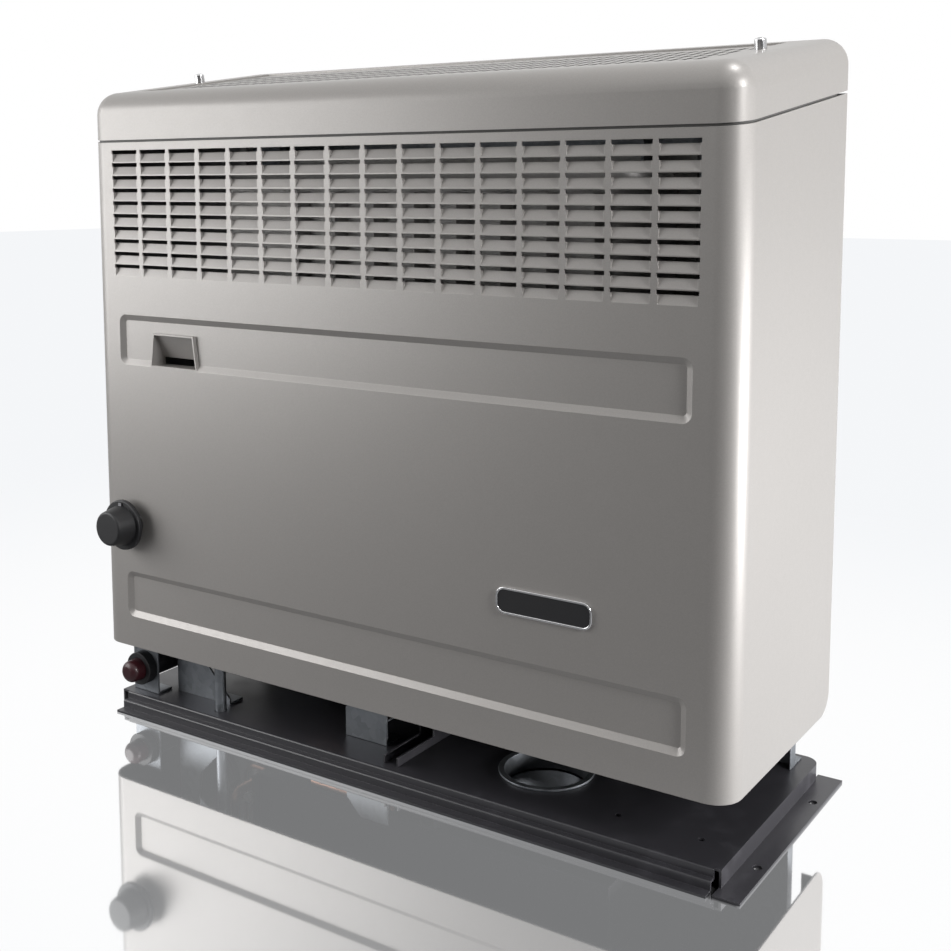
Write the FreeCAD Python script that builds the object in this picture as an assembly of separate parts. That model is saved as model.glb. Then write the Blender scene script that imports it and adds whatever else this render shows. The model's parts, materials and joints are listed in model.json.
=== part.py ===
import FreeCAD, Part
import math
import os

V = FreeCAD.Vector
os.makedirs("parts", exist_ok=True)

# Caravan gas heater, millimetres.
# X runs across the front, Y from front to back, Z up from the floor.
# The origin is on the floor, under the middle of the whole heater.

# Driving dimensions: casing and cap
casing_width = 490.0
casing_depth = 162.0
casing_bottom = 52.0
seam_height = 414.0
cap_height = 33.0
top_slope = math.radians(9.0)
sheet = 1.2
corner_radius = 16.0
rear_return = 14.0
side_corner_radius = 15.0
seam_gap = 1.6
tongue_drop = 3.5
tongue_rise = 4.0

# Louvre field in the casing's front
louvre_rows = 10
louvre_pitch_x = 27.88
louvre_pitch_z = 8.81
louvre_width = 24.8
louvre_slit = 2.5
louvre_blade = 5.5
louvre_depth = 2.6
louvre_sheet = 0.9
louvre_top_margin = 5.5
louvre_side_margin = 20.5

# Pressed bands, sight scoop and knob hole
band_side_margin = 26.5
band_border = 4.0
band_depth = 2.5
band_corner = 6.0
upper_band_bottom = 258.5
upper_band_height = 35.5
lower_band_bottom = 74.5
lower_band_height = 33.5
scoop_left = 57.7
scoop_bottom_width = 42.0
scoop_top_width = 36.4
scoop_height = 22.5
scoop_depth = 11.0
scoop_slot = 5.0
knob_hole_radius = 12.0

# Warm-air grille in the cap
grille_side_margin = 34.0
grille_edge_gap = 0.2
grille_back_margin = 12.0
grille_lap = 4.5
slot_pitch = 8.2
slot_width = 4.2
slot_length = 16.0
slot_rows = 5
slot_row_pitch = 23.0
screw_inset = 26.0
screw_depth = 85.0
cap_screw_radius = 2.0
cap_screw_head_radius = 3.5
cap_screw_head_height = 6.5
cap_screw_crown = 1.2
screw_clearance = 0.2

# Base plate
base_back = 175.0
base_sheet = 1.5
deck_height = 12.0
deck_inset = 8.0
flange_overhang = 6.5
deck_front = 8.0
step_depth = 4.5
step_height = 7.0
lip_reach = 6.5
front_fold_left_inset = 14.5
front_fold_right_inset = 12.0
base_corner = 10.0
fold_radius = 1.4
right_flange_front = 0.0
left_flange_front = 25.0
flange_hole_radius = 2.75
flange_hole_inset = 6.0
flange_hole_front = 41.0
flange_hole_spacing = 94.0
pilot_hole_radius = 2.0
pilot_hole_insets = (84.0, 31.0)
pilot_hole_depth = 35.0

# Air intake
intake_from_right = 150.0
intake_depth = 64.0
intake_bore = 27.0
intake_wall = 1.5
intake_clearance = 0.3
intake_flange = 2.5
intake_foot = 0.5

# Heat exchanger and burner box
exchanger_side_gap = 80.0
exchanger_front = 45.0
exchanger_back = 142.0
exchanger_split = 97.5
exchanger_height = 300.0
exchanger_wall = 1.5
exchanger_corner = 14.0
exchanger_flange = 12.0
rib_pitch = 32.0
rib_width = 20.0
rib_crest = 12.0
rib_rise = 8.0
rib_end_margin = 16.0
rib_side_margin = 31.0
rib_sight_gap = 4.0
box_inset = 20.0
box_half_depth = 42.5
box_bottom = 48.0
box_height = 48.0
box_wall = 1.5
box_air_hole = 24.0
end_plate = 2.0
end_plate_lap = 6.0
burner_radius = 13.0
burner_wall = 1.0
burner_depth = 97.5
burner_drop = 24.0
burner_slots = 20
burner_slot_width = 2.0
burner_slot_length = 14.0
injector_length = 14.0
injector_radius = 7.0
sight_inset = 27.0
sight_rise = 44.0
sight_frame_radius = 18.0
sight_glass_radius = 13.0
sight_frame_thickness = 6.0
sight_glass_thickness = 3.0
flue_inset = 60.0
flue_drop = 60.0
flue_radius = 27.5
flue_wall = 1.5
flue_flange_radius = 36.0
flue_flange = 2.0
flue_gasket = 1.5
flue_end_gap = 1.0

# Rear heat shield
shield_gap = 3.0
shield_side_gap = 5.0
shield_over = 8.0
shield_fold = 8.0
shield_foot = 12.0
shield_flue_gap = 3.0

# Supports between deck and burner box
rail_x = 7.0
rail_width = 12.0
rail_front = 15.0
rail_sheet = 1.5
rail_toe_height = 6.0
foot_left_inset = 35.0
foot_right_inset = 23.0
foot_back_inset = 5.0
foot_length = 35.0
bracket_sheet = 2.0
cap_bracket_width = 20.0
cap_bracket_foot = 30.0
cap_bracket_inset = 15.0
cap_bracket_overhang = 6.0

# Control knob, spindle and gas valve
knob_from_left = 32.0
knob_height = 144.0
knob_reach = 22.0
knob_gap = 6.0
knob_skirt_radius = 18.0
knob_skirt = 3.0
knob_grip_root = 14.5
knob_grip_end = 12.0
knob_edge = 2.0
knob_press = 5.0
knob_blind = 5.0
knob_rim_edge = 1.0
knob_pointer_width = 3.0
knob_pointer_rise = 1.0
knob_pointer_margin = 1.5
spindle_radius = 4.0
sleeve_radius = 6.5
running_clearance = 0.05
sleeve_front = 12.0
sleeve_back = 30.0
sleeve_collar = 2.0
sleeve_collar_radius = 9.0
spindle_shoulder = 5.6
spindle_shoulder_length = 2.0
shoulder_gap = 0.1
spindle_tail = 4.0
valve_width = 44.0
valve_front = 27.0
valve_depth = 50.0
valve_rise = 22.0
valve_edge = 4.0
bonnet_thickness = 8.0
bonnet_radius = 18.0
valve_screw_radius = 1.8
valve_screw_head_radius = 3.4
valve_screw_head = 2.2
valve_screw_pitch_radius = 14.0
valve_screw_length = 8.0
chamber_radius = 9.5
chamber_spare = 3.0
boss_radius = 8.0
boss_length = 9.0
outlet_depth = 58.0
outlet_drop = 4.0
inlet_depth = 50.0
capillary_boss_radius = 4.0
capillary_boss_length = 5.0
capillary_boss_offset = 8.0
capillary_boss_depth = 47.0

# Pipes, leads and sensor
inlet_pipe_radius = 4.0
inlet_pipe_from_left = 97.0
inlet_pipe_depth = 20.0
inlet_pipe_bottom = 1.0
inlet_pipe_drop = 21.0
inlet_pipe_bend = 12.0
inlet_hole_clearance = 0.5
union_across = 14.0
union_length = 12.0
union_clearance = 0.1
feed_pipe_radius = 3.0
feed_pipe_bend = 7.5
feed_drop_gap = 8.5
probe_offset = 14.5
probe_rise = 32.0
probe_radius = 2.5
probe_inside = 25.0
probe_outside = 20.0
probe_clearance = 0.1
probe_lead_radius = 1.5
probe_lead_bend = 10.0
probe_lead_back = 112.0
electrode_offset = 27.5
electrode_radius = 3.5
electrode_inside = 18.0
electrode_outside = 26.0
electrode_tip = 14.0
electrode_tip_radius = 1.2
lead_radius = 2.5
lead_bend = 7.0
lead_loop_depth = 86.0
lead_turn_from_left = 50.0
sensor_rail_gap = 13.0
sensor_plate_width = 35.0
sensor_plate_depth = 36.0
sensor_plate_height = 32.0
sensor_plate_chamfer = 12.0
sensor_bulb_radius = 4.0
sensor_bulb_length = 70.0
sensor_bulb_level = 34.0
sensor_bulb_depth = 47.0
sensor_bulb_inset = 3.0
sensor_seat_gap = 0.1
sensor_tab = 14.0
capillary_radius = 1.0
capillary_bend = 8.0
capillary_rise_from_left = 66.0
capillary_over = 20.0

# Piezo igniter
igniter_from_left = 25.0
igniter_height = 31.0
igniter_plate_left = 13.0
igniter_plate_width = 25.0
igniter_plate_depth = 16.0
igniter_plate_height = 34.0
igniter_foot = 12.0
igniter_body_radius = 9.0
igniter_body_length = 40.0
igniter_stub_radius = 4.0
igniter_stub_length = 8.0
igniter_nut_radius = 12.0
igniter_nut_length = 7.0
button_radius = 8.0
button_tip = -2.0
button_press = 5.0
button_rear_gap = 1.0
button_stem_radius = 3.0
button_stem_length = 14.0
button_nose = 5.0

# Valve bracket
valve_bracket_depth = 30.0
valve_bracket_left = 44.0
valve_bracket_toe = 96.0
valve_bracket_toe_height = 4.0
valve_bracket_knee = 66.0
valve_bracket_knee_height = 46.0
valve_bracket_foot = 12.0

# How far cuts run past the faces that they open
beyond = 1.0
past = V(0, beyond, 0)

# Places worked out from the sizes above
front = (knob_reach - base_back) / 2.0
back = front + casing_depth
half = casing_width / 2.0
left = -half
inner_front = front + sheet
box_top = box_bottom + box_height
exchanger_top = box_top + exchanger_height
split = front + exchanger_split
knob_x = left + knob_from_left
igniter_x = left + igniter_from_left
far = 2.0 * (casing_width + base_back)
louvre_columns = int((casing_width - 2.0 * louvre_side_margin - louvre_width) / louvre_pitch_x) + 1
grille_half_width = half - grille_side_margin
cap_edge_reach = corner_radius * math.tan(math.pi / 4.0 - top_slope / 2.0)
grille_front = cap_edge_reach + grille_edge_gap + grille_lap
deck_half_width = half - deck_inset
flange_half_width = half + flange_overhang
intake_x = half - intake_from_right
exchanger_half_width = half - exchanger_side_gap
box_half_width = exchanger_half_width - box_inset
box_front = burner_depth - box_half_depth
box_back = burner_depth + box_half_depth
electrode_depth = burner_depth - electrode_offset
probe_depth = burner_depth + probe_offset
sight_x = sight_inset - exchanger_half_width
flue_x = exchanger_half_width - flue_inset
rib_last = exchanger_half_width - rib_side_margin
rib_first_least = sight_x + sight_frame_radius + rib_sight_gap + rib_width / 2.0
rib_count = int((rib_last - rib_first_least) / rib_pitch) + 1
inlet_pipe_x = left + inlet_pipe_from_left
inlet_boss_end = knob_height - valve_rise - boss_length
inlet_pipe_level = inlet_boss_end - union_length - inlet_pipe_drop
sensor_plate_right = rail_x - rail_width / 2.0 - sensor_rail_gap
sensor_bulb_right = sensor_plate_right - sensor_bulb_inset
sensor_bulb_left = sensor_bulb_right - sensor_bulb_length
foot_back = front + box_back - foot_back_inset


def box(x0, x1, y0, y1, z0, z1):
    """Block between two corners."""
    return Part.makeBox(x1 - x0, y1 - y0, z1 - z0, V(x0, y0, z0))


def rod(radius, start, end):
    """Solid cylinder from one point to another."""
    axis = end.sub(start)
    return Part.makeCylinder(radius, axis.Length, start, axis)


def polygon(points):
    """Flat face inside a closed run of points."""
    return Part.Face(Part.makePolygon(points + [points[0]]))


def prism_x(points, x0, x1):
    """Outline of (y, z) points extruded along X."""
    return polygon([V(x0, y, z) for y, z in points]).extrude(V(x1 - x0, 0, 0))


def prism_y(points, y0, y1):
    """Outline of (x, z) points extruded along Y."""
    return polygon([V(x, y0, z) for x, z in points]).extrude(V(0, y1 - y0, 0))


def prism_z(points, z0, z1):
    """Outline of (x, y) points extruded along Z."""
    return polygon([V(x, y, z0) for x, y in points]).extrude(V(0, 0, z1 - z0))


def hexagon_bar(across, start, end):
    """Hexagonal bar between two points, measured across its flats."""
    axis = end.sub(start)
    turn = FreeCAD.Rotation(V(0, 0, 1), axis)
    corner = across / math.sqrt(3.0)
    angles = [math.radians(60.0 * i) for i in range(6)]
    ring = [start + turn.multVec(V(corner * math.cos(a), corner * math.sin(a), 0)) for a in angles]
    return polygon(ring).extrude(axis)


def bent_pipe(points, radius, bend):
    """Round pipe along straight runs joined by arcs of one bend radius."""
    edges = []
    start = points[0]
    for before, corner, after in zip(points, points[1:], points[2:]):
        into = before.sub(corner).normalize()
        out = after.sub(corner).normalize()
        half_turn = (math.pi - into.getAngle(out)) / 2.0
        reach = bend * math.tan(half_turn)
        middle = into.add(out).normalize()
        inset = bend / math.cos(half_turn) - bend
        first = corner + into * reach
        last = corner + out * reach
        edges.append(Part.LineSegment(start, first).toShape())
        edges.append(Part.Arc(first, corner + middle * inset, last).toShape())
        start = last
    edges.append(Part.LineSegment(start, points[-1]).toShape())
    circle = Part.Wire(Part.makeCircle(radius, points[0], points[1].sub(points[0])))
    return Part.Wire(edges).makePipeShell([circle], True, False)


def seam_z(y):
    """Height of the seam between casing and cap at a place from front to back."""
    return seam_height + (y - front) * math.tan(top_slope)


def roof_z(y):
    """Height of the cap's outer top face at a place from front to back."""
    return seam_z(y) + cap_height


def save(shape, node):
    """Write one piece."""
    shape.exportStep("parts/" + node + ".step")


def rounded_front_block(inset, z0, z1):
    """Block under the casing's footprint, its front corners rounded, inset on three sides."""
    block = box(left + inset, half - inset, front + inset, back, z0, z1)
    upright = [e for e in block.Edges
               if e.BoundBox.ZLength > beyond and e.CenterOfMass.y < front + inset + beyond]
    return block.makeFillet(corner_radius - inset, upright)


def rounded_outline(x0, x1, z0, z1, radius, y):
    """Rounded rectangle in an upright plane."""
    arcs = []
    ends = []
    corners = ((x1, z0, -1, 1), (x1, z1, -1, -1), (x0, z1, 1, -1), (x0, z0, 1, 1))
    for x, z, toward_x, toward_z in corners:
        centre = V(x + toward_x * radius, y, z + toward_z * radius)
        along_x = V(centre.x, y, z)
        along_z = V(x, y, centre.z)
        middle = centre - V(toward_x, 0, toward_z).normalize() * radius
        order = (along_x, along_z) if toward_x * toward_z < 0 else (along_z, along_x)
        arcs.append(Part.Arc(order[0], middle, order[1]).toShape())
        ends.append(order)
    edges = []
    for i in range(4):
        edges.append(arcs[i])
        edges.append(Part.LineSegment(ends[i][1], ends[(i + 1) % 4][0]).toShape())
    return Part.Wire(edges)


def pressed_band(x0, x1, z0, z1, y0, y1):
    """Block with sloping borders that narrows from one upright plane to a deeper one."""
    wide = rounded_outline(x0, x1, z0, z1, band_corner, y0)
    narrow_corner = max(band_corner - band_border, band_corner / 4.0)
    narrow = rounded_outline(x0 + band_border, x1 - band_border, z0 + band_border, z1 - band_border,
                             narrow_corner, y1)
    return Part.makeLoft([wide, narrow], True, True)


def make_louvres():
    """Windows and pressed-in blades of the louvre field."""
    blade_bottom = -louvre_blade
    blade = [(0.0, blade_bottom), (louvre_depth, 0.0), (louvre_depth + louvre_sheet, 0.0),
             (louvre_sheet, blade_bottom)]
    cheek = [(0.0, blade_bottom), (louvre_depth + louvre_sheet, 0.0), (0.0, 0.0)]
    louvre = prism_x(blade, 0.0, louvre_width)
    louvre = louvre.fuse([prism_x(cheek, 0.0, louvre_sheet),
                          prism_x(cheek, louvre_width - louvre_sheet, louvre_width)])
    window = box(0.0, louvre_width, -sheet, 2.0 * sheet, blade_bottom, louvre_slit)
    field_width = (louvre_columns - 1) * louvre_pitch_x + louvre_width
    top = seam_height - louvre_top_margin
    windows = []
    blades = []
    for column in range(louvre_columns):
        for row in range(louvre_rows):
            place = V(column * louvre_pitch_x - field_width / 2.0, front,
                      top - louvre_slit - row * louvre_pitch_z)
            windows.append(window.translated(place))
            blades.append(louvre.translated(place))
    return windows, blades


def make_casing():
    """Front and side sheet with louvres, pressed bands, sight scoop and knob hole."""
    high = roof_z(back)
    shell = rounded_front_block(0.0, casing_bottom, high)
    hollow = rounded_front_block(sheet, casing_bottom - sheet, high + sheet)
    hollow = hollow.common(box(-far, far, -far, back - sheet, -far, far))
    shell = shell.cut(hollow)
    shell = shell.cut(box(left + rear_return, half - rear_return, back - 2.0 * sheet, back + sheet, 0.0, far))
    above = [(front - sheet, seam_z(front - sheet)), (back + sheet, seam_z(back + sheet)),
             (back + sheet, high + far), (front - sheet, high + far)]
    shell = shell.cut(prism_x(above, -far, far))
    rounding = box(-far, far, back - side_corner_radius, back + sheet, casing_bottom - sheet,
                   casing_bottom + side_corner_radius)
    rounding = rounding.cut(rod(side_corner_radius,
                                V(-far, back - side_corner_radius, casing_bottom + side_corner_radius),
                                V(far, back - side_corner_radius, casing_bottom + side_corner_radius)))
    shell = shell.cut(rounding)
    band_left = left + band_side_margin
    bands = ((upper_band_bottom, upper_band_bottom + upper_band_height),
             (lower_band_bottom, lower_band_bottom + lower_band_height))
    pans = [pressed_band(band_left, -band_left, z0, z1, inner_front, inner_front + band_depth)
            for z0, z1 in bands]
    presses = [pressed_band(band_left, -band_left, z0, z1, front, front + band_depth) for z0, z1 in bands]
    shell = shell.fuse(pans).cut(presses)
    shell = shell.fuse(scoop_block(sheet)).cut(scoop_block(0.0))
    slot = box(left + scoop_left + sheet, left + scoop_left + scoop_bottom_width - sheet,
               front + scoop_depth - sheet, front + scoop_depth + 2.0 * sheet,
               upper_band_bottom + sheet, upper_band_bottom + sheet + scoop_slot)
    shell = shell.cut(slot)
    shell = shell.cut(rod(knob_hole_radius, V(knob_x, front - sheet, knob_height),
                          V(knob_x, front + 2.0 * sheet, knob_height)))
    windows, blades = make_louvres()
    return shell.cut(windows).fuse(blades).removeSplitter()


def scoop_block(wall):
    """Wedge of the sight scoop: the cavity for wall 0, its outside for the sheet's thickness."""
    bottom = upper_band_bottom + sheet - wall
    top = upper_band_bottom + scoop_height + wall
    mouth = front - sheet if wall == 0.0 else front
    wedge = [(mouth, bottom), (front + scoop_depth + wall, bottom),
             (front + scoop_depth + wall, bottom + scoop_slot + wall),
             (front + band_depth + wall, top), (mouth, top)]
    middle = left + scoop_left + scoop_bottom_width / 2.0
    low = scoop_bottom_width / 2.0 + wall
    high = scoop_top_width / 2.0 + wall
    sides = [(middle - low, bottom), (middle + low, bottom), (middle + high, top), (middle - high, top)]
    return prism_x(wedge, -far, far).common(prism_y(sides, -far, far))


def cap_block(inset, bottom_drop):
    """Rounded cap form, inset on its front, sides and top, and reaching down past the seam."""
    y0 = front + inset
    y1 = back - inset
    rise = cap_height - inset / math.cos(top_slope)
    outline = [(y0, seam_z(y0) + seam_gap - bottom_drop), (y1, seam_z(y1) + seam_gap - bottom_drop),
               (y1, seam_z(y1) + rise), (y0, seam_z(y0) + rise)]
    block = prism_x(outline, left + inset, half - inset)
    rounded = []
    for edge in block.Edges:
        middle = edge.CenterOfMass
        upright = edge.BoundBox.ZLength > beyond and edge.BoundBox.YLength < beyond
        on_top = abs(middle.z - (seam_z(middle.y) + rise)) < running_clearance
        at_back = middle.y > y1 - beyond
        if (upright or on_top) and not at_back:
            rounded.append(edge)
    return block.makeFillet(corner_radius - inset, rounded)


def slope_slab(x0, x1, y0, y1, below, thickness):
    """Slab parallel to the cap's top, its upper face a given distance under the outer face."""
    def face(y):
        return roof_z(y) - below / math.cos(top_slope)
    drop = thickness / math.cos(top_slope)
    return prism_x([(y0, face(y0) - drop), (y1, face(y1) - drop), (y1, face(y1)), (y0, face(y0))], x0, x1)


def screw_axis_rods(radius, above, below):
    """One rod at each cap screw, along the cap's normal."""
    normal = V(0, -math.sin(top_slope), math.cos(top_slope))
    y = front + screw_depth
    rods = []
    for x in (left + screw_inset, half - screw_inset):
        seat = V(x, y, roof_z(y))
        rods.append(rod(radius, seat - normal * below, seat + normal * above))
    return rods


def make_cap():
    """Sloping cap over the casing, open underneath, with a grille opening and a locating tongue."""
    cap = cap_block(0.0, 0.0).cut(cap_block(sheet, cap_height))
    cap = cap.cut(slope_slab(-grille_half_width, grille_half_width, front + grille_front,
                             back - grille_back_margin, -sheet, 3.0 * sheet))
    cap = cap.cut(screw_axis_rods(cap_screw_radius + screw_clearance, sheet, 3.0 * sheet))
    return cap.fuse(cap_tongue())


def cap_tongue():
    """Strip inside the seam, round the front and both sides, that locates the cap in the casing."""
    ring = rounded_front_block(sheet, casing_bottom, far)
    ring = ring.cut(rounded_front_block(2.0 * sheet, 0.0, 2.0 * far))
    end = back - corner_radius
    low = tongue_drop
    high = seam_gap + tongue_rise
    strip = [(front, seam_z(front) - low), (end, seam_z(end) - low), (end, seam_z(end) + high),
             (front, seam_z(front) + high)]
    return ring.common(prism_x(strip, -far, far))


def make_grille():
    """Slotted plate held under the cap's opening."""
    y0 = front + grille_front - grille_lap
    y1 = back - grille_back_margin + grille_lap
    x1 = half - corner_radius
    plate = slope_slab(-x1, x1, y0, y1, sheet, sheet)
    plate = plate.cut(screw_axis_rods(cap_screw_radius + screw_clearance, sheet, 4.0 * sheet))
    columns = int((2.0 * grille_half_width - slot_width) / slot_pitch)
    first_row = front + grille_front + slot_width
    slots = []
    for row in range(slot_rows):
        y = first_row + row * slot_row_pitch
        count = columns - row % 2
        start = -(count - 1) * slot_pitch / 2.0
        for column in range(count):
            x = start + column * slot_pitch
            slots.append(box(x - slot_width / 2.0, x + slot_width / 2.0, y, y + slot_length, 0.0, far))
    return plate.cut(slots)


def make_cap_screws():
    """Two tall-headed screws that hold cap and grille down on the cap brackets."""
    reach = 2.0 * sheet + bracket_sheet
    shanks = screw_axis_rods(cap_screw_radius, 0.0, reach)
    heads = screw_axis_rods(cap_screw_head_radius, cap_screw_head_height, 0.0)
    screws = []
    for shank, head in zip(shanks, heads):
        crown = [e for e in head.Edges if e.Closed and e.CenterOfMass.z > head.CenterOfMass.z]
        screws.append(shank.fuse(head.makeFillet(cap_screw_crown, crown)))
    return Part.Compound(screws)


def make_cap_bracket(side):
    """Angle bracket from the exchanger's top to a cap screw, on one side."""
    y0 = front + screw_depth - cap_bracket_width / 2.0
    y1 = y0 + cap_bracket_width
    outer = half - screw_inset + cap_bracket_overhang
    riser = exchanger_half_width - cap_bracket_inset
    arm = slope_slab(riser, outer, y0, y1, 2.0 * sheet, bracket_sheet)

    def under(y):
        return roof_z(y) - 2.0 * sheet / math.cos(top_slope)
    post = prism_x([(y0, exchanger_top), (y1, exchanger_top), (y1, under(y1)), (y0, under(y0))],
                   riser, riser + bracket_sheet)
    foot = box(riser - cap_bracket_foot, riser, y0, y1, exchanger_top, exchanger_top + bracket_sheet)
    bracket = arm.fuse([post, foot]).cut(screw_axis_rods(cap_screw_radius + screw_clearance, 0.0, far / 10.0))
    return bracket if side > 0 else bracket.mirror(V(0, 0, 0), V(1, 0, 0))


def make_base():
    """Folded base tray with stepped front edge, screw flanges and holes."""
    y0 = front + deck_front
    y1 = front + base_back
    deck_bottom = deck_height - base_sheet
    ledge = y0 - step_depth
    run = [(y0 + 2.0 * base_sheet, deck_height), (y0, deck_height), (y0, step_height), (ledge, step_height),
           (ledge, base_sheet), (ledge - lip_reach, base_sheet)]
    pieces = [stepped_fold(run, front_fold_left_inset - half, half - front_fold_right_inset)]
    tray = tray_block(0.0, y0 + base_sheet, 0.0, deck_height)
    tray = tray.cut(tray_block(base_sheet, y0, -base_sheet, deck_bottom))
    for side, flange_front in ((1, right_flange_front), (-1, left_flange_front)):
        edges = sorted((side * (deck_half_width - base_sheet), side * flange_half_width))
        flange = box(edges[0], edges[1], front + flange_front, y1, 0.0, base_sheet)
        pieces.append(flange.cut(tray_block(base_sheet, y0, -base_sheet, deck_bottom)))
    base = tray.fuse(pieces).removeSplitter()
    holes = []
    for side in (1, -1):
        for i in range(2):
            place = V(side * (flange_half_width - flange_hole_inset),
                      front + flange_hole_front + i * flange_hole_spacing, -base_sheet)
            holes.append(rod(flange_hole_radius, place, place + V(0, 0, 3.0 * base_sheet)))
    for inset in pilot_hole_insets:
        place = V(half - inset, front + pilot_hole_depth, 0.0)
        holes.append(rod(pilot_hole_radius, place, place + V(0, 0, 2.0 * deck_height)))
    place = V(intake_x, front + intake_depth, 0.0)
    holes.append(rod(intake_bore + intake_wall + intake_clearance, place, place + V(0, 0, 2.0 * deck_height)))
    place = V(inlet_pipe_x, front + inlet_pipe_depth, 0.0)
    holes.append(rod(inlet_pipe_radius + inlet_hole_clearance, place, place + V(0, 0, 2.0 * deck_height)))
    return base.cut(holes)


def tray_block(inset, y0, z0, z1):
    """Block under the deck's outline, its back corners rounded, inset on both sides and the back."""
    y1 = front + base_back - inset
    block = box(inset - deck_half_width, deck_half_width - inset, y0, y1, z0, z1)
    upright = [e for e in block.Edges
               if e.BoundBox.ZLength > z1 - z0 - beyond and e.CenterOfMass.y > y1 - beyond]
    return block.makeFillet(base_corner - inset, upright)


def stepped_fold(run, x0, x1):
    """Front fold of the base: a run of (y, z) points thickened downwards and backwards."""
    t = base_sheet
    inner = [(y + t, z - t) for y, z in run[1:-1]]
    ends = [(run[-1][0], run[-1][1] - t)] + inner[::-1] + [(run[0][0], run[0][1] - t)]
    fold = prism_x(list(run) + ends, x0, x1)
    bends = [run[1], run[3]]
    edges = [e for e in fold.Edges if e.BoundBox.XLength > beyond and
             any(abs(e.CenterOfMass.y - y) + abs(e.CenterOfMass.z - z) < running_clearance for y, z in bends)]
    return fold.makeFillet(fold_radius, edges)


def make_intake_collar():
    """Round collar in the deck's air-intake hole."""
    centre = V(intake_x, front + intake_depth, 0.0)
    outer = rod(intake_bore + intake_wall, centre + V(0, 0, intake_foot),
                centre + V(0, 0, deck_height + base_sheet))
    rim = rod(intake_bore + intake_wall + intake_flange, centre + V(0, 0, deck_height),
              centre + V(0, 0, deck_height + base_sheet))
    bore = rod(intake_bore, centre - V(0, 0, deck_height), centre + V(0, 0, 3.0 * deck_height))
    return outer.fuse(rim).cut(bore)


def exchanger_ribs(y, toward):
    """Vertical pressed ribs on one face of the exchanger."""
    ribs = []
    for i in range(rib_count):
        x = rib_last - i * rib_pitch
        crest = y + toward * rib_rise
        points = [(x - rib_width / 2.0, y), (x + rib_width / 2.0, y), (x + rib_crest / 2.0, crest),
                  (x - rib_crest / 2.0, crest)]
        ribs.append(prism_z(points, box_top + rib_end_margin, exchanger_top - rib_end_margin))
    return ribs


def exchanger_shell(y_face, toward):
    """One pressed half shell of the heat exchanger, with its joint flange."""
    wall = exchanger_wall
    w = exchanger_half_width
    lo, hi = sorted((y_face, split))
    body = box(-w, w, lo, hi, box_top, exchanger_top)
    edges = [e for e in body.Edges
             if abs(e.CenterOfMass.y - split) > beyond and e.CenterOfMass.z > box_top + beyond]
    body = body.makeFillet(exchanger_corner, edges)
    hollow_face = y_face - toward * wall
    lo, hi = sorted((hollow_face, split - toward * wall))
    hollow = box(-w + wall, w - wall, lo, hi, box_top + wall, exchanger_top - wall)
    edges = [e for e in hollow.Edges
             if (abs(e.CenterOfMass.y - hollow_face) < beyond or e.BoundBox.YLength > beyond) and
             e.CenterOfMass.z > box_top + 2.0 * wall]
    hollow = hollow.makeFillet(exchanger_corner - wall, edges)
    lo, hi = sorted((split, split + toward * wall))
    f = exchanger_flange
    flange = box(-w - f, w + f, lo, hi, box_top, exchanger_top + f)
    shell = body.fuse([flange] + exchanger_ribs(y_face, toward))
    shell = shell.cut([hollow] + exchanger_ribs(hollow_face, toward))
    lo, hi = sorted((y_face - toward * exchanger_corner, split - toward * wall))
    mouth = box(-box_half_width + f, box_half_width - f, lo, hi, box_top - wall, box_top + 2.0 * wall)
    return shell.cut(mouth)


def make_exchanger_front():
    """Front half shell with the hole behind the sight glass."""
    place = V(sight_x, front, box_top + sight_rise)
    hole = rod(sight_glass_radius - sheet, place, V(sight_x, split, place.z))
    return exchanger_shell(front + exchanger_front, -1).cut(hole)


def make_exchanger_rear():
    """Rear half shell with the boss and hole for the flue."""
    z = exchanger_top - flue_drop
    face = front + exchanger_back
    seat = V(flue_x, face + rib_rise, z)
    boss = rod(flue_flange_radius + exchanger_wall, V(flue_x, face - exchanger_wall, z), seat)
    hole = rod(flue_radius - flue_wall, V(flue_x, split, z), seat + past)
    return exchanger_shell(face, 1).fuse(boss).cut(hole)


def make_burner_box():
    """Open-topped air box under the exchanger, open at its left end."""
    w = box_half_width
    y0 = front + box_front
    y1 = front + box_back
    outer = box(-w, w, y0, y1, box_bottom, box_top)
    hollow = box(-w - box_wall, w - box_wall, y0 + box_wall, y1 - box_wall, box_bottom + box_wall,
                 box_top + beyond)
    middle = V(intake_x, front + burner_depth, 0.0)
    hole = rod(box_air_hole, middle, middle + V(0, 0, box_top))
    return outer.cut([hollow, hole])


def make_end_plate():
    """Plate that closes the burner box's left end and carries burner, electrode and probe."""
    x1 = -box_half_width
    x0 = x1 - end_plate
    plate = box(x0, x1, front + box_front - end_plate_lap, front + box_back + end_plate_lap,
                box_bottom, box_top)
    seats = ((injector_radius / 2.0, burner_depth, burner_drop),
             (electrode_radius + probe_clearance, electrode_depth, probe_rise),
             (probe_radius + probe_clearance, probe_depth, probe_rise))
    holes = [rod(radius, V(x0 - beyond, front + depth, box_bottom + rise),
                 V(x1 + beyond, front + depth, box_bottom + rise)) for radius, depth, rise in seats]
    return plate.cut(holes)


def make_burner():
    """Slotted tube burner across the box."""
    y = front + burner_depth
    z = box_bottom + burner_drop
    x0 = -box_half_width
    x1 = box_half_width - box_wall
    tube = rod(burner_radius, V(x0, y, z), V(x1, y, z))
    tube = tube.cut(rod(burner_radius - burner_wall, V(x0 - beyond, y, z), V(x1 - burner_wall, y, z)))
    pitch = (x1 - x0) / (burner_slots + 1)
    slots = []
    for i in range(burner_slots):
        x = x0 + (i + 1) * pitch
        slots.append(box(x - burner_slot_width / 2.0, x + burner_slot_width / 2.0,
                         y - burner_slot_length / 2.0, y + burner_slot_length / 2.0, z,
                         z + burner_radius + beyond))
    return tube.cut(slots)


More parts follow.
